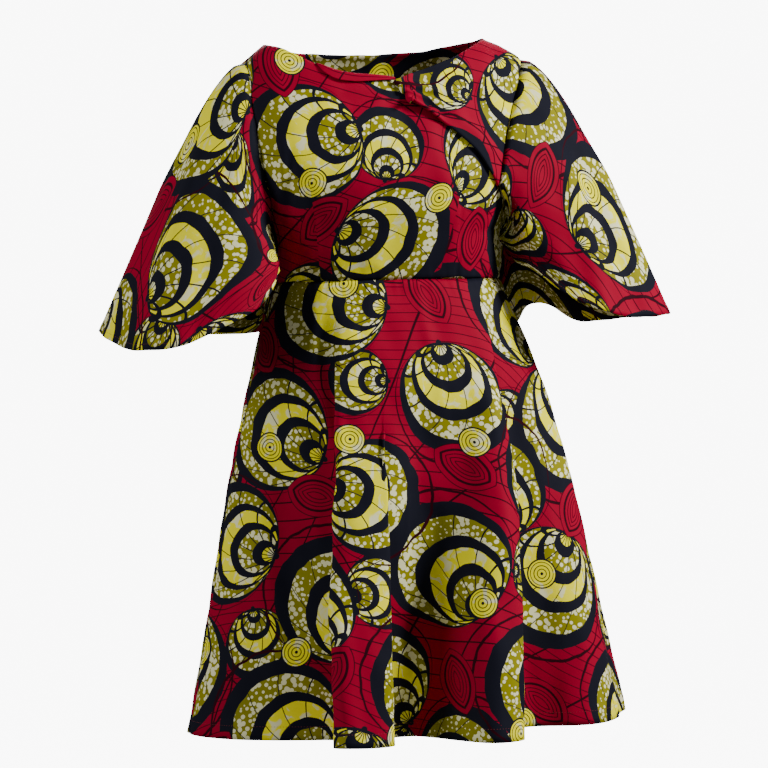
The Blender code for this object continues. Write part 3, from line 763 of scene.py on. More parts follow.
def shoulder_drape():
    """Return the drape with its turned lower lip, and its flat cut."""
    counts = DRAPE_COLUMNS
    neck = NECK_FRONT_LEFT + (rim_point(1, NECK_LEFT_Z),)
    high = np.concatenate([
        edge_curve(neck, np.linspace(0, 1, counts["neck"] + 1), -1),
        rim_curve(1, NECK_LEFT_Z, SHOULDER_LEFT_Z, counts["shoulder"], -1)[1:],
    ])
    low = edge_curve(DRAPE_EDGE, np.linspace(0, 1, len(high)), -1)
    start = np.linspace(low[0], high[0], DRAPE_ROWS + 1)
    end = edge_curve(drape_side(), np.linspace(0, 1, DRAPE_ROWS + 1), -1)
    cut = refine(patch(low, high, start, end), BODICE_FINER)
    u, v = shares_of(cut)
    lift = DRAPE_LIFT * (1 - ease(v / DRAPE_REACH)) + TWIST_LIFT * (1 - ease(u / TWIST_REACH))
    return roll_up(cut, -1, lift), cut


def lower_armhole_left():
    """Return the left armhole below the drape as (x, z), from the underarm to the crossing."""
    return (rim_point(1, UNDERARM_Z),) + ARMHOLE_LEFT_LOWER + (CROSSING,)


def drape_side():
    """Return the drape's edge at the left armhole as (x, z), from the crossing to the shoulder."""
    return (CROSSING,) + ARMHOLE_LEFT_UPPER + (rim_point(1, SHOULDER_LEFT_Z),)


def with_lip(points, cut, facing, radius, depth):
    """Return a grid with its first row turned under in a soft roll, a depth for each point of that row."""
    edge = points[0]
    away = unit(np.cross(facing, np.gradient(edge, axis=0)))
    away *= -np.sign((away * (points[LIP_PROBE] - edge)).sum(axis=1, keepdims=True))
    beyond = unit(cut[0] - cut[2])
    added = []
    added_cut = []
    for step in range(LIP_ROWS, 0, -1):
        angle = np.pi * min(1.0, step / (LIP_ROWS / 2))
        back = max(0.0, step / LIP_ROWS - 0.5) * 2
        roll = away * radius * math.sin(angle) - facing * radius * (1 - math.cos(angle))
        added.append(edge + roll - away * depth[:, None] * back)
        added_cut.append(cut[0] + beyond * radius * LIP_CUT * step / LIP_ROWS)
    return np.concatenate([added, points]), np.concatenate([added_cut, cut])


def with_turned_edges(points, cut):
    """Return the drape with its end at the twist and its low edge turned under."""
    facing = normals(points)[:, 0]
    depth = TWIST_DEPTH * np.sin(np.pi * np.linspace(*TWIST_SPAN, len(points)))
    lipped = with_lip(points.swapaxes(0, 1), cut.swapaxes(0, 1), facing, TWIST_RADIUS, depth)
    points, cut = (grid.swapaxes(0, 1) for grid in lipped)
    facing = normals(points)[0]
    facing[:LIP_ROWS] = facing[LIP_ROWS]
    depth = LIP_DEPTH * ease((np.linspace(0, 1, points.shape[1]) - LIP_START) / LIP_RISE)
    return with_lip(points, cut, facing, LIP_RADIUS, depth)


def neck_roll():
    """Return the neck edge that rolls over to the outside and tucks into the twist."""
    along = np.linspace(0, 1, ROLL_COLUMNS + 1)
    neck = (rim_point(-1, NECK_RIGHT_Z),) + NECK_FRONT_RIGHT
    edge = edge_curve(neck, ROLL_START + (ROLL_END - ROLL_START) * along, -1)
    flat = np.zeros(len(edge))
    base = roll_up(edge, -1, flat)
    down = unit(roll_up(edge - (0, ROLL_DROP), -1, flat) - base)
    out = unit(np.cross(np.gradient(base, axis=0), -down))
    full, radius = read_table(ROLL_TAPERS, along).T[..., None]
    radius = ROLL_RADIUS * radius
    corners = np.arange(len(ROLL_SECTION))
    section = smooth(corners, ROLL_SECTION, np.linspace(0, corners[-1], ROLL_SECTION_STEPS))
    points = []
    for side, height in section:
        fall = -radius * height if height > 0 else -ROLL_DROP * height * full
        points.append(base + out * side * radius + down * fall)
    points = np.array(points)
    wide = lengths(points[:, ROLL_COLUMNS // 2])
    cut = np.stack(np.broadcast_arrays(lengths(base)[None, :], wide[:, None]), axis=-1)
    return points, cut


def armhole_line(side, lift):
    """Return an armhole from the front of the underarm, over the shoulder, to its back.

    The upper front of the left one is the side of the drape.
    """
    even = np.linspace(0, 1, FINE)
    flat = np.zeros(FINE)
    if side < 0:
        fronts = [(armhole(-1, ARMHOLE_RIGHT_FRONT), flat)]
        back = armhole(-1, ARMHOLE_RIGHT_BACK)
    else:
        fronts = [
            (lower_armhole_left(), DRAPE_LIFT * ease(even)),
            (drape_side(), DRAPE_LIFT * (1 - ease(even / DRAPE_REACH))),
        ]
        back = armhole(1, ARMHOLE_LEFT_BACK)
    parts = [roll_up(edge_curve(edge, even, -1), -1, stand + lift) for edge, stand in fronts]
    parts.append(roll_up(edge_curve(back, even[::-1], 1), 1, flat + lift))
    return np.concatenate([parts[0][:1]] + [part[1:] for part in parts])


def sleeve(side, rulings, edge, lifted):
    """Return a cape sleeve: rulings from the armhole to the hem, bowed outward."""
    whole = rulings[-1].along
    along = np.linspace(0, whole, FINE)
    hem_length = lengths(read_table(rulings, along)[:, :3])
    along = np.interp(np.linspace(0, hem_length[-1], SLEEVE_MESH.columns + 1), hem_length, along)
    hem = read_table(rulings, along)
    edge_share = lengths(edge) / lengths(edge)[-1]
    shoulder = edge_share[np.argmax(edge[:, 2])]
    shares = np.interp(along, (0, 1, whole), (SLEEVE_START, shoulder, 1 - SLEEVE_START))
    top = evenly(edge, shares)
    outward = read_rows(shares, edge_share, unit(lifted - edge))
    ahead = read_rows(shares, edge_share, np.gradient(edge, axis=0))
    beyond = unit(side * np.cross(ahead, outward))
    away = unit(hem[:, :3] - top)
    away = unit(away - unit(ahead) * (away * unit(ahead)).sum(axis=1, keepdims=True))
    clear = ease((away * beyond).sum(axis=1))[:, None]
    start = top + ARMHOLE_GAP * unit(away * clear + outward * (1 - clear))
    down = unit(hem[:, :3] - start)
    out = unit(np.array([0.0, 0.0, 1.0]) - down * down[:, 2:])
    t = np.linspace(0, 1, SLEEVE_MESH.rows + 1)[:, None, None]
    bow = np.sin(np.pi * t ** BOW_SKEW) * hem[:, 3:]
    return start + (hem[:, :3] - start) * t + out * bow


def skirt_ring(down, face, columns):
    """Return one level of the skirt, even in length from its first side seam to the other."""
    half_turn = np.linspace(0, 180, RING_STEPS) if face < 0 else np.linspace(180, 360, RING_STEPS)
    right, left, front, back = read_table(SKIRT_RINGS, down)
    drift = down ** ANGLE_DRIFT
    angle = np.radians(half_turn)
    bulge = np.zeros_like(angle)
    slide = np.zeros_like(angle)
    for fold in SKIRT_FOLDS:
        foot_a = fold.top_a + (fold.hem_a - fold.top_a) * drift
        crest = fold.top_crest + (fold.hem_crest - fold.top_crest) * drift
        foot_b = fold.top_b + (fold.hem_b - fold.top_b) * drift
        reach = np.where(half_turn < crest, crest - foot_a, foot_b - crest)
        u = np.clip((half_turn - crest) / reach, -1, 1)
        grown = np.clip((down - fold.onset) / (1 - fold.onset), 0, 1) ** FOLD_GROWTH
        if fold.fade is not None:
            grown *= 1 - ease((down - fold.fade) / (FADED_BY - fold.fade))
        tuck = np.where(u < 0, fold.tuck_a, fold.tuck_b)
        bulge += fold.depth * grown * np.cos(np.pi * u / 2) ** 2
        slide += tuck * np.radians(reach) * np.sin(2 * np.pi * u) * min(1.0, TUCK_LEAD * grown)
    turned = angle + slide
    x_half = np.where(np.cos(turned) > 0, right, left)
    depth = np.where(np.sin(turned) > 0, front, back)
    power = FORM_POWER + (2 - FORM_POWER) * ease(down / ROUND_BY)
    squared = (np.abs(np.cos(turned)) ** power + np.abs(np.sin(turned)) ** power) ** (-1 / power)
    x = -np.cos(turned) * x_half * squared
    y = -np.sin(turned) * depth * squared
    normal = np.stack([x / x_half ** 2, y / depth ** 2], axis=1)
    normal /= np.linalg.norm(normal, axis=1, keepdims=True)
    ring = np.stack([x, y], axis=1) + normal * bulge[:, None]
    ring[:, 1] += face * SEAM_GAP / 2
    return evenly(ring, np.linspace(0, 1, columns + 1))


def skirt(face, mesh):
    """Return the skirt front or back from the hem up to the waist seam."""
    grid = []
    for share in np.linspace(1, 0, mesh.rows + 1):
        down = share ** ROW_CROWD
        ring = skirt_ring(down, face, mesh.columns)
        z = WAIST_Z - SEAM_GAP - WAIST_EASE + (HEM_Z - WAIST_Z) * down
        grid.append(np.column_stack([ring, np.full(len(ring), z)]))
    return np.array(grid)


def normals(points):
    """Return the outward directions of a grid."""
    return unit(np.cross(np.gradient(points, axis=1), np.gradient(points, axis=0)))


def fan_cut(chart, upward):
    """Return the flat cut of a flared piece: a sector whose rows keep their lengths."""
    widths = chart[:, -1, 0] - chart[:, 0, 0]
    flare, waist = np.polyfit(chart[:, 0, 1], widths, 1)
    radius = waist / flare + chart[..., 1]
    angle = chart[..., 0] / radius
    return np.stack([radius * np.sin(angle), upward * (radius * np.cos(angle) - waist / flare)], axis=-1)


def moved_onto(cut, points, places):
    """Return a cut turned and moved so that its points fall near the neighbour's at their seam."""
    (from_a, to_a), (from_b, to_b) = [
        (cut.reshape(-1, 2)[np.argmin(np.linalg.norm(points.reshape(-1, 3) - place, axis=1))], target)
        for place, target in places
    ]
    was = from_b - from_a
    now = to_b - to_a
    turn = math.atan2(now[1], now[0]) - math.atan2(was[1], was[0])
    cos, sin = math.cos(turn), math.sin(turn)
    spun = (cut - from_a) @ np.array([[cos, sin], [-sin, cos]])
    return spun + to_a


def pressed(points, chart, creases):
    """Return the sheet with its creases and soft waves pressed in."""
    move = np.zeros(chart.shape[:-1])
    for crease in creases:
        a = np.array([crease.a_u, crease.a_v])
        way = np.array([crease.b_u, crease.b_v]) - a
        size = np.linalg.norm(way)
        t = (chart - a) @ way / size ** 2
        off = (chart - a) @ np.array([-way[1], way[0]]) / size
        near = np.exp(-(off / crease.width) ** 2)
        move += crease.height * near * ease(t / CREASE_END) * ease((1 - t) / CREASE_END)
    for wave in WAVES:
        turn = chart[..., 0] / wave.across + chart[..., 1] / wave.down
        move += wave.height * np.sin(2 * np.pi * turn + wave.phase)
    return points + normals(points) * move[..., None]


def from_edge(grid, edge):
    """Return a view of a grid whose first row is this edge."""
    if edge in ("start", "end"):
        grid = grid.swapaxes(0, 1)
    return grid[::-1] if edge in ("high", "end") else grid


def edge_distance(points, edge):
    """Return each point's length from one edge, and along that edge, as seen from it."""
    points = from_edge(points, edge)
    steps = np.linalg.norm(np.diff(points, axis=0), axis=-1)
    away = np.concatenate([np.zeros((1, points.shape[1])), np.cumsum(steps, axis=0)])
    return away, lengths(points[0])[None, :]


def chart_of(points):
    """Return (across, down) for each point of a flared piece whose first row is its top."""
    along = edge_distance(points, "start")[0].T
    steps = np.linalg.norm(np.diff(points, axis=0), axis=-1).mean(axis=1)
    down = np.concatenate([[0.0], np.cumsum(steps)])[:, None]
    return np.stack(np.broadcast_arrays(along - along[:, -1:] / 2, down), axis=-1)


def sewn(points, sizes, edges):
    """Return the sheet drawn in along its seams, with small puckers."""
    move = np.zeros(points.shape[:-1])
    for edge in edges:
        away, along = edge_distance(points, edge)
        turn = 2 * np.pi * along / sizes.pucker_pitch
        uneven = sum(share * np.sin(turn * rate + phase) for share, rate, phase in PUCKER_WAVES)
        near = np.exp(-(away / sizes.seam_width) ** 2)
        wide = away / (PUCKER_REACH * sizes.seam_width)
        own = from_edge(move, edge)  # a view, so the sheet's own moves change with it
        own -= sizes.seam_hollow * near
        own += sizes.pucker * uneven * wide * np.exp(1 - wide) * np.exp(-wide)
    facing = normals(points)
    laid = points + facing * move[..., None]
    for edge in edges:
        rim, beside = from_edge(points, edge)[:2]
        from_edge(laid, edge)[0] += (unit(rim - beside) - from_edge(facing, edge)[0]) * SEAM_TUCK
    return laid


def joined_at_shoulder(points):
    """Return the sheet with the shoulder stretch of its last row drawn in to meet the other face."""
    rim = points[-1]
    near = (np.abs(rim[:, 1]) < SHOULDER_NEAR) & (rim[:, 2] > SHOULDER_FROM_Z)
    rim[near, 1] = -np.sign(points[..., 1].mean()) * SHOULDER_TUCK
    return points


def hemmed(points, sizes, edge, turning):
    """Return the sheet with the step of a turned hem along one edge."""
    away, along = edge_distance(points, edge)
    step = ease((turning - away) / HEM_EASE + 0.5)
    fading = np.exp(-((away - turning) / HEM_RIPPLE_REACH) ** 2)
    ripple = HEM_RIPPLE * np.sin(2 * np.pi * along / HEM_RIPPLE_PITCH) * fading
    laid = points.copy()
    own = from_edge(laid, edge)  # a view of the laid sheet
    own += from_edge(normals(points), edge) * (step + ripple)[..., None] * sizes.hem_step
    return laid


def add_grid(name, points):
    """Add a grid whose vertices lie on these points."""
    rows, columns = points.shape[0] - 1, points.shape[1] - 1
    bpy.ops.object.select_all(action="DESELECT")
    bpy.ops.mesh.primitive_grid_add(x_subdivisions=columns, y_subdivisions=rows, size=1)
    piece = bpy.context.object
    piece.name = piece.data.name = name
    piece.data.vertices.foreach_set("co", points.reshape(-1).astype(np.float32))
    return piece


def lay_sheet(node, points, cut, sizes, finish):
    """Add one cloth piece: a grid laid on its points, its flat cut as its UV map, then its wall."""
    piece = add_grid(node + "_cloth", points)
    mesh = piece.data
    corner = np.empty(len(mesh.loops), np.int32)
    mesh.loops.foreach_get("vertex_index", corner)
    placed = (cut + PRINT_PLACES.get(node, (0.0, 0.0))).reshape(-1, 2)[corner]
    mesh.uv_layers[0].data.foreach_set("uv", placed.reshape(-1).astype(np.float32))
    mesh.update()
    wall = piece.modifiers.new("Wall", "SOLIDIFY")
    wall.thickness = sizes.cloth
    wall.offset = 0.0
    bpy.ops.object.modifier_apply(modifier=wall.name)
    mesh.shade_smooth()
    mesh.materials.append(finish_of(finish))
    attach(piece, "root")
    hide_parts(node)
    flat, area = cut_size(cut)


def lay_hemmed(node, points, cut, edge, turning, sizes):
    """Turn and stitch the hem along one edge of a sheet, and lay it with its stitches."""
    points = hemmed(points, sizes, edge, turning)
    line, up = line_on(points, edge, turning - STITCH_INSET, sizes.cloth / 2)
    row = stitches(node + "_stitches", line, up, sizes)
    lay_sheet(node, points, cut, sizes, "wax_print_cotton")


def cut_size(cut):
    """Return the width, length and area of a flat cut."""
    size = np.ptp(cut.reshape(-1, 2), axis=0)
    a = cut[1:, 1:] - cut[:-1, :-1]
    b = cut[1:, :-1] - cut[:-1, 1:]
    area = np.abs(a[..., 0] * b[..., 1] - a[..., 1] * b[..., 0]).sum() / 2
    return (float(size[0]), float(size[1])), float(area)


def stitches(name, line, facing, sizes):
    """Add a row of stitches along a line on the cloth, as one mesh."""
    bpy.ops.object.select_all(action="DESELECT")
    bpy.ops.mesh.primitive_ico_sphere_add(subdivisions=1, radius=0.5)
    seed = bpy.context.object
    ball = np.array([tuple(vertex.co) for vertex in seed.data.vertices])
    faces = np.array([tuple(face.vertices) for face in seed.data.polygons])
    bpy.data.objects.remove(seed, do_unlink=True)
    along = lengths(line)
    places = np.arange(sizes.stitch, along[-1] - sizes.stitch, sizes.stitch + sizes.stitch_gap)
    middle = read_rows(places, along, line)
    ahead = unit(read_rows(places, along, np.gradient(line, axis=0)))
    up = unit(read_rows(places, along, facing))
    beside = unit(np.cross(ahead, up))
    size = np.array([sizes.stitch, sizes.thread, sizes.thread])
    points = middle[:, None] + sum(
        ball[None, :, axis, None] * size[axis] * way[:, None]
        for axis, way in enumerate((ahead, beside, up))
    )
    shift = np.arange(len(places))[:, None, None] * len(ball)
    mesh = bpy.data.meshes.new(name)
    mesh.from_pydata(points.reshape(-1, 3).tolist(), [], (faces[None] + shift).reshape(-1, 3).tolist())
    mesh.shade_smooth()
    mesh.materials.append(finish_of("sewing_thread"))
    piece = bpy.data.objects.new(name, mesh)
    bpy.context.scene.collection.objects.link(piece)
    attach(piece, "root")
    return piece


def line_on(points, edge, away, out):
    """Return a line on a sheet at a distance from one edge, and the directions that face outward."""
    gone, _ = edge_distance(points, edge)
    own = from_edge(points, edge)
    line = np.array([
        [np.interp(away, gone[:, i], own[:, i, axis]) for axis in range(3)] for i in range(own.shape[1])
    ])
    up = from_edge(normals(points), edge)[0]
    return line + up * out, up


class Wire:
    """A socket of a material, whose maths reads as plain expressions."""

    def __init__(self, finish, socket):
        self.finish = finish
        self.socket = socket

    def maths(self, operation, *others):
        """Return the result of a Math node on this value and the others."""
        return self.finish.node("ShaderNodeMath", {"operation": operation}, dict(enumerate((self, *others))))

    def held(self):
        """Return this value held between 0 and 1."""
        return self.maths("MAXIMUM", 0.0).maths("MINIMUM", 1.0)

    def __rsub__(self, other):
        return self.finish.node("ShaderNodeMath", {"operation": "SUBTRACT"}, {0: other, 1: self})

    __add__ = partialmethod(maths, "ADD")
    __sub__ = partialmethod(maths, "SUBTRACT")
    __mul__ = partialmethod(maths, "MULTIPLY")
    __truediv__ = partialmethod(maths, "DIVIDE")
    __lt__ = partialmethod(maths, "LESS_THAN")
    __mod__ = partialmethod(maths, "FLOORED_MODULO")
    __abs__ = partialmethod(maths, "ABSOLUTE")


class Finish:
    """A material under construction."""

    def __init__(self, name):
        self.material = bpy.data.materials.new(name)
        self.material.use_nodes = True
        self.tree = self.material.node_tree
        self.shader = self.tree.nodes["Principled BSDF"]

    def node(self, kind, settings=None, inputs=None, output=0):
        """Add a node with its settings and its sockets' values or links, and return one output."""
        node = self.tree.nodes.new(kind)
        for key, value in (settings or {}).items():
            if key == "stops":
                ramp = node.color_ramp
                ramp.interpolation = "CONSTANT"
                while len(ramp.elements) < len(value):
                    ramp.elements.new(1.0)
                for element, (place, shade) in zip(ramp.elements, value):
                    element.position = place
                    element.color = (*shade, 1.0)
            else:
                setattr(node, key, value)
        for key, value in (inputs or {}).items():
            self.join(node.inputs[key], value)
        return Wire(self, node.outputs[output])

    def join(self, socket, value):
        """Give a socket a link or a value."""
        if isinstance(value, Wire):
            self.tree.links.new(value.socket, socket)
        else:
            socket.default_value = value

    def feed(self, **inputs):
        """Give the shader's sockets their links or values, named with underscores."""
        for key, value in inputs.items():
            self.join(self.shader.inputs[key.replace("_", " ")], value)

    def mix(self, share, a, b):
        """Return one colour laid over another."""
        return self.node("ShaderNodeMix", {"data_type": "RGBA"}, {0: share, 6: a, 7: b}, output=2)

    def parts(self, vector):
        """Return the three parts of a vector or colour."""
        split = self.tree.nodes.new("ShaderNodeSeparateXYZ")
        self.join(split.inputs[0], vector)
        return [Wire(self, socket) for socket in split.outputs]

    def vector(self, x, y, z=0.0):
        """Return a vector of three values."""
        return self.node("ShaderNodeCombineXYZ", None, {0: x, 1: y, 2: z})

    def noise(self, vector, scale, detail=2.0, warp=0.0):
        """Return a noise value over a vector."""
        inputs = {"Vector": vector, "Scale": scale, "Detail": detail, "Distortion": warp}
        return self.node("ShaderNodeTexNoise", {"noise_dimensions": "2D"}, inputs, output="Fac")


def cells(finish, cut, lattice):
    """Return a point's place from the middle of its cell's motif, with the motif's turn and size."""
    across, down = (axis / pitch + phase for axis, pitch, phase in zip(cut, lattice.pitch, lattice.phase))
    column = across.maths("FLOOR")
    row = down.maths("FLOOR")
    own = finish.node(
        "ShaderNodeTexWhiteNoise", {"noise_dimensions": "3D"},
        {"Vector": finish.vector(column, row, lattice.seed)}, output="Color",
    )
    a, b, c = finish.parts(own)
    x = (across - column - 0.5) * lattice.pitch[0] + (a - 0.5) * lattice.jitter
    y = (down - row - 0.5) * lattice.pitch[1] + (b - 0.5) * lattice.jitter
    return x, y, c * (2 * math.pi), a


def turned(x, y, angle):
    """Return a place seen from axes turned by an angle."""
    cos = angle.maths("COSINE")
    sin = angle.maths("SINE")
    return x * cos + y * sin, y * cos - x * sin


def stops(finish, level, bands):
    """Return a mask that changes at each band's start."""
    return finish.node("ShaderNodeValToRGB", {"stops": bands}, {0: level}, output="Color")


def nested_disc(finish, base, place, radius, wobble, yellow, olive, shades):
    """Lay discs of touching circles over a colour, each band a crescent."""
    x, y, angle, own = place
    along, across = turned(x, y, angle)
    size = (own * DISC_SPREAD + DISC_LEAST) * radius
    from_touch = along + size
    reach = from_touch.maths("MAXIMUM", NO_WIDTH)
    level = (from_touch * from_touch + across * across) / (reach * size * 2) + wobble
    bearing = across.maths("ARCTAN2", from_touch)
    rungs = abs((bearing * RUNGS_ROUND + level * RUNGS_LEAN) % 1.0 - 0.5)
    is_yellow, is_olive, _ = finish.parts(stops(finish, level, DISC_BANDS))
    band = finish.mix(is_yellow, shades["navy"], yellow)
    band = finish.mix(is_olive, band, olive)
    rung = (rungs * from_touch < RUNG_WIDTH) * (is_yellow + is_olive)
    band = finish.mix(rung, band, shades["navy"])
    echo = abs(level - ECHO_AT) < ECHO_WIDTH
    base = finish.mix(echo, base, shades["line"])
    return finish.mix(level < 1.0, base, band)


def leaf(finish, base, place, shades):
    """Lay pointed leaves with lines inside them over a colour."""
    x, y, angle, _ = place
    along, across = turned(x, y, angle)
    bow = (LEAF_HALF_LENGTH ** 2 + LEAF_HALF_WIDTH ** 2) / (2 * LEAF_HALF_WIDTH) - LEAF_HALF_WIDTH
    reach = abs(across) + bow
    level = ((reach * reach + along * along).maths("SQRT") - bow) / LEAF_HALF_WIDTH
    dark, _, _ = finish.parts(stops(finish, level, LEAF_LINES))
    return finish.mix(level < 1.0, base, finish.mix(dark, shades["crimson"], shades["line"]))


def button(finish, base, place, yellow, shades):
    """Lay small ringed spots over a colour."""
    x, y, _, _ = place
    level = (x * x + y * y).maths("SQRT") / BUTTON_RADIUS
    dark, _, _ = finish.parts(stops(finish, level, BUTTON_RINGS))
    return finish.mix(level < 1.0, base, finish.mix(dark, yellow, shades["navy"]))


def lined_ground(finish, cut, shades):
    """Return the crimson ground with its thin and its bolder lines."""
    ground = shades["crimson"]
    for lines, place in ((THIN_LINES, cut), (BOLD_LINES, cut[::-1])):
        sway = finish.noise(finish.vector(*place), lines.scale, 0.0) * lines.sway
        level = (cut[0] * lines.across + cut[1] * lines.down + sway) / lines.pitch
        ground = finish.mix(abs(level % 1.0 - 0.5) < lines.share, ground, shades["line"])
    return ground


def print_colours(finish, cut, shades):
    """Return the colour of the print on a piece's flat cut."""
    flat = finish.vector(*cut)
    wobble = (finish.noise(flat, WOBBLE_SCALE, 1.0) - 0.5) * WOBBLE
    fleck = finish.noise(flat, FLECK_SCALE, 2.0, FLECK_WARP)
    wash = finish.noise(flat, WASH_SCALE, 1.0, WASH_WARP)
    crackle = ((fleck * FLECK_SHARE + wash * WASH_SHARE - CRACKLE_FROM) * CRACKLE_EDGE).held()
    yellow = finish.mix(crackle, shades["yellow"], shades["cream"])
    dots = finish.node(
        "ShaderNodeTexVoronoi", {"voronoi_dimensions": "2D"}, {"Vector": flat, "Scale": DOT_SCALE},
        output="Distance",
    )
    olive = finish.mix(dots < (wash * DOT_GROWTH - DOT_LEAST), shades["olive"], shades["cream"])
    base = lined_ground(finish, cut, shades)
    for lattice, radius in DISCS:
        base = nested_disc(finish, base, cells(finish, cut, lattice), radius, wobble, yellow, olive, shades)
    base = leaf(finish, base, cells(finish, cut, LEAVES), shades)
    return button(finish, base, cells(finish, cut, BUTTONS), yellow, shades)


def cotton_finish(name, colour_of, colours, darts):
    """Return the cotton with its print, weave and soft rumples. The print jumps where a dart takes it in."""
    finish = Finish(name)
    inks = ("crimson", "line", "navy", "yellow", "cream", "olive")
    shades = {ink: (*getattr(colours, ink), 1.0) for ink in inks}
    place = finish.node("ShaderNodeUVMap", {"uv_map": "UVMap"})
    u, v, _ = finish.parts(place)
    for dart in darts:
        down = ((dart.a_v - v) * (1 / (dart.a_v - dart.b_v))).held()
        beyond = (down * (dart.b_u - dart.a_u) + dart.a_u) < u
        u = u + beyond * down * dart.intake
    threads = 2 * math.pi / THREAD_PITCH
    weave = (u * threads).maths("SINE") * (v * threads).maths("SINE")
    rumple = finish.noise(place, RUMPLE_SCALE, 4.0)
    height = rumple * RUMPLE_HEIGHT + weave * WEAVE_HEIGHT
    bump = finish.node(
        "ShaderNodeBump", None, {"Strength": BUMP_STRENGTH, "Distance": BUMP_DEPTH, "Height": height},
    )
    finish.feed(Base_Color=colour_of(finish, (u, v), shades), Normal=bump, Metallic=0.0)
    finish.feed(Roughness=rumple * ROUGHNESS_SPREAD + ROUGHNESS, Specular_IOR_Level=COTTON_SPECULAR)
    return finish.material


def thread_finish(name, colours):
    """Return the sewing thread."""
    finish = Finish(name)
    tone = finish.noise(finish.node("ShaderNodeTexCoord", output="Object"), TONE_SCALE, 1.0)
    shade = finish.mix(tone * TONE_SHARE, (*colours.thread, 1.0), (0.5, 0.5, 0.5, 1.0))
    finish.feed(Base_Color=shade, Roughness=THREAD_ROUGHNESS)
    return finish.material


# The cottons by name, with what is printed on each and the darts that break its print
COTTONS = {
    "wax_print_cotton": (print_colours, ()),
    "darted_cotton": (print_colours, FRONT_DARTS),
    "lined_cotton": (lined_ground, ()),
}


def settings():
    """Return the sizes and the colours."""
    scene = bpy.context.scene
    return scene.dress_sizes, scene.dress_colours


def finish_of(name):
    """Return a finish by its name, made once."""
    _, colours = settings()
    made = bpy.data.materials.get(name)
    if made:
        return made
    if name in COTTONS:
        colour_of, darts = COTTONS[name]
        return cotton_finish(name, colour_of, colours, darts)
    return thread_finish(name, colours)


class DRESS_OT_stage(bpy.types.Operator):
    """Add the room, its lamps and the camera."""

    bl_idname = "dress.stage"
    bl_label = "Stage"

    def execute(self, context):
        room()
        for name, lamp in LAMPS.items():
            add_lamp(name, lamp, LAMP_AIM)
        world = bpy.data.worlds.new("pale_room")
        world.use_nodes = True
        light = world.node_tree.nodes["Background"].inputs
        light["Color"].default_value = (1, 1, 1, 1)
        light["Strength"].default_value = ROOM_LIGHT
        context.scene.world = world
        camera()
        return {"FINISHED"}


def room():
    """Add a round room whose floor curves up into its wall."""
    _, colours = settings()
    turn = np.linspace(0, 2 * np.pi, ROOM_SIDES + 1)
    curve = np.linspace(0, np.pi / 2, ROOM_CURVE_RINGS)
    flat = ROOM_RADIUS - ROOM_CURVE
    floor = np.linspace(ROOM_MIDDLE, flat, ROOM_FLOOR_RINGS + 1)[:-1]
    radius = np.concatenate([floor, flat + ROOM_CURVE * np.sin(curve), [ROOM_RADIUS]])[:, None]
    height = np.concatenate([floor * 0, ROOM_CURVE * (1 - np.cos(curve)), [ROOM_TOP_Z - ROOM_FLOOR_Z]])
    z = height[:, None] + ROOM_FLOOR_Z + np.zeros_like(turn)
    piece = add_grid("room", np.stack([radius * np.cos(turn), radius * np.sin(turn), z], axis=-1))
    piece.data.shade_smooth()
    finish = Finish("room_white")
    finish.feed(Base_Color=(*colours.room, 1.0), Roughness=ROOM_ROUGHNESS, Specular_IOR_Level=ROOM_SPECULAR)
    finish.feed(Emission_Color=(1.0, 1.0, 1.0, 1.0), Emission_Strength=ROOM_GLOW)
    finish.material.cycles.emission_sampling = "NONE"
    piece.data.materials.append(finish.material)
    piece.visible_diffuse = piece.visible_glossy = piece.visible_shadow = False


def add_lamp(name, lamp, aim):
    """Add one soft square lamp that points at a place."""
    turn = math.radians(lamp.turn)
    place = Vector((lamp.distance * math.sin(turn), -lamp.distance * math.cos(turn), lamp.height))
    bpy.ops.object.light_add(type="AREA", location=place)
    light = bpy.context.object
    light.name = name
    light.data.size = lamp.size
    light.data.energy = lamp.power
    light.data.spread = math.radians(lamp.spread)
    light.rotation_euler = (aim - place).to_track_quat("-Z", "Y").to_euler()
    light.visible_camera = False


def camera():
    """Add the camera in front of the dress, a little to the wearer's right."""
    place = Vector((
        CAMERA_TARGET.x + CAMERA_DISTANCE * math.sin(CAMERA_TURN),
        CAMERA_TARGET.y - CAMERA_DISTANCE * math.cos(CAMERA_TURN),
        CAMERA_Z,
    ))
    bpy.ops.object.camera_add(location=place)
    view = bpy.context.object
    view.name = "camera"
    aim = (CAMERA_TARGET - place).to_track_quat("-Z", "Y")
    view.rotation_euler = (aim @ Quaternion((0, 0, 1), -CAMERA_ROLL)).to_euler()
    view.data.sensor_width = SENSOR
    view.data.lens = FOCAL_PIXELS * SENSOR / PICTURE
    view.data.dof.use_dof = False
    bpy.context.scene.camera = view


class DRESS_OT_bodice(bpy.types.Operator):
    """Lay the bodice front and back."""

    bl_idname = "dress.bodice"
    bl_label = "Bodice"

    def execute(self, context):
        sizes, _ = settings()
        for node, shape, creases, finish in (
            ("bodice_front", bodice_front, FRONT_CREASES, "darted_cotton"),
            ("bodice_back", bodice_back, BACK_CREASES, "wax_print_cotton"),
        ):
            points, cut = shape()
            points = sewn(pressed(points, cut, creases), sizes, ("low", "start", "end"))
            lay_sheet(node, joined_at_shoulder(points), cut, sizes, finish)
        return {"FINISHED"}


class DRESS_OT_drape(bpy.types.Operator):
    """Lay the shoulder drape and the rolled neck edge."""

    bl_idname = "dress.drape"
    bl_label = "Shoulder drape and neck roll"

    def execute(self, context):
        sizes, _ = settings()
        points, cut = shoulder_drape()
        points, cut = with_turned_edges(sewn(pressed(points, cut, DRAPE_CREASES), sizes, ("end",)), cut)
        lay_sheet("shoulder_drape", joined_at_shoulder(points), cut, sizes, "wax_print_cotton")
        points, cut = neck_roll()
        lay_sheet("neck_roll", points, cut, sizes, "lined_cotton")
        return {"FINISHED"}


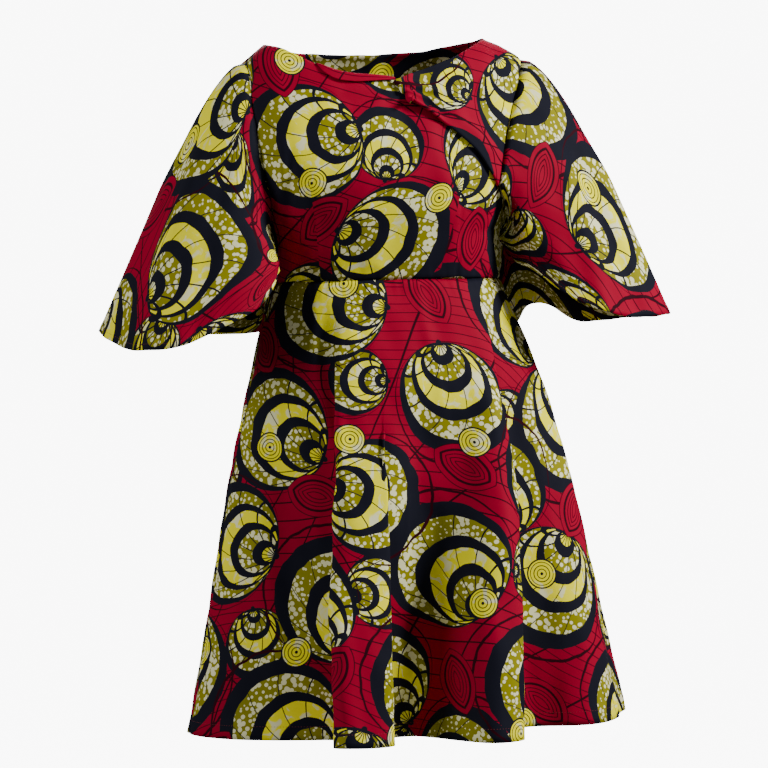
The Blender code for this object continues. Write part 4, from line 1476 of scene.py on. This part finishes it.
class DRESS_OT_sleeves(bpy.types.Operator):
    """Lay both cape sleeves, with their hems stitched."""

    bl_idname = "dress.sleeves"
    bl_label = "Cape sleeves"

    def execute(self, context):
        sizes, _ = settings()
        for side, node, rulings, creases, front in (
            (-1, "sleeve_right", SLEEVE_RIGHT, SLEEVE_RIGHT_CREASES, armhole(-1, ARMHOLE_RIGHT_FRONT)),
            (1, "sleeve_left", SLEEVE_LEFT, SLEEVE_CREASES, drape_side()),
        ):
            points = sleeve(side, rulings, armhole_line(side, 0.0), armhole_line(side, ARMHOLE_PROBE))
            if side > 0:
                points = points[:, ::-1]
            chart = chart_of(points)
            seam = edge_curve(front, np.array(SLEEVE_MATCH), -1)
            places = list(zip(roll_up(seam, -1, np.zeros(2)), seam))
            cut = moved_onto(fan_cut(chart, 1), points, places)
            lay_hemmed(node, pressed(points, chart, creases), cut, "high", sizes.sleeve_turning, sizes)
        return {"FINISHED"}


class DRESS_OT_skirt(bpy.types.Operator):
    """Lay the skirt front and back, with their hems stitched."""

    bl_idname = "dress.skirt"
    bl_label = "Skirt"

    def execute(self, context):
        sizes, _ = settings()
        for face, node, mesh, creases in (
            (-1, "skirt_front", SKIRT_FRONT_MESH, SKIRT_FRONT_CREASES),
            (1, "skirt_back", SKIRT_BACK_MESH, SKIRT_BACK_CREASES),
        ):
            points = skirt(face, mesh)
            chart = chart_of(points[::-1])[::-1]
            cut = fan_cut(chart[::-1], -1)[::-1]
            points = sewn(pressed(points, chart, creases), sizes, ("high", "start", "end"))
            lay_hemmed(node, points, cut, "low", sizes.hem_turning, sizes)
        return {"FINISHED"}


OPERATORS = (DRESS_OT_stage, DRESS_OT_bodice, DRESS_OT_drape, DRESS_OT_sleeves, DRESS_OT_skirt)


class VIEW3D_PT_dress(bpy.types.Panel):
    """Lists the dress's pieces, sizes and colours."""

    bl_label = "Dress"
    bl_idname = "VIEW3D_PT_dress"
    bl_space_type = "VIEW_3D"
    bl_region_type = "UI"
    bl_category = "Dress"

    def draw(self, context):
        for operator in OPERATORS:
            self.layout.operator(operator.bl_idname)
        for group in (context.scene.dress_sizes, context.scene.dress_colours):
            for name in group.__annotations__:
                self.layout.prop(group, name)


CLASSES = (DressSizes, DressColours) + OPERATORS + (VIEW3D_PT_dress,)


def register():
    """Register the classes and hang the sizes and colours on the scene."""
    for item in CLASSES:
        bpy.utils.register_class(item)
    bpy.types.Scene.dress_sizes = bpy.props.PointerProperty(type=DressSizes)
    bpy.types.Scene.dress_colours = bpy.props.PointerProperty(type=DressColours)


def unregister():
    """Take them all away again."""
    del bpy.types.Scene.dress_sizes
    del bpy.types.Scene.dress_colours
    for item in reversed(CLASSES):
        bpy.utils.unregister_class(item)


def main():
    """Dress the frame."""
    register()
    bpy.ops.dress.stage()
    bpy.ops.dress.bodice()
    bpy.ops.dress.drape()
    bpy.ops.dress.sleeves()
    bpy.ops.dress.skirt()


if __name__ == "__main__":
    main()
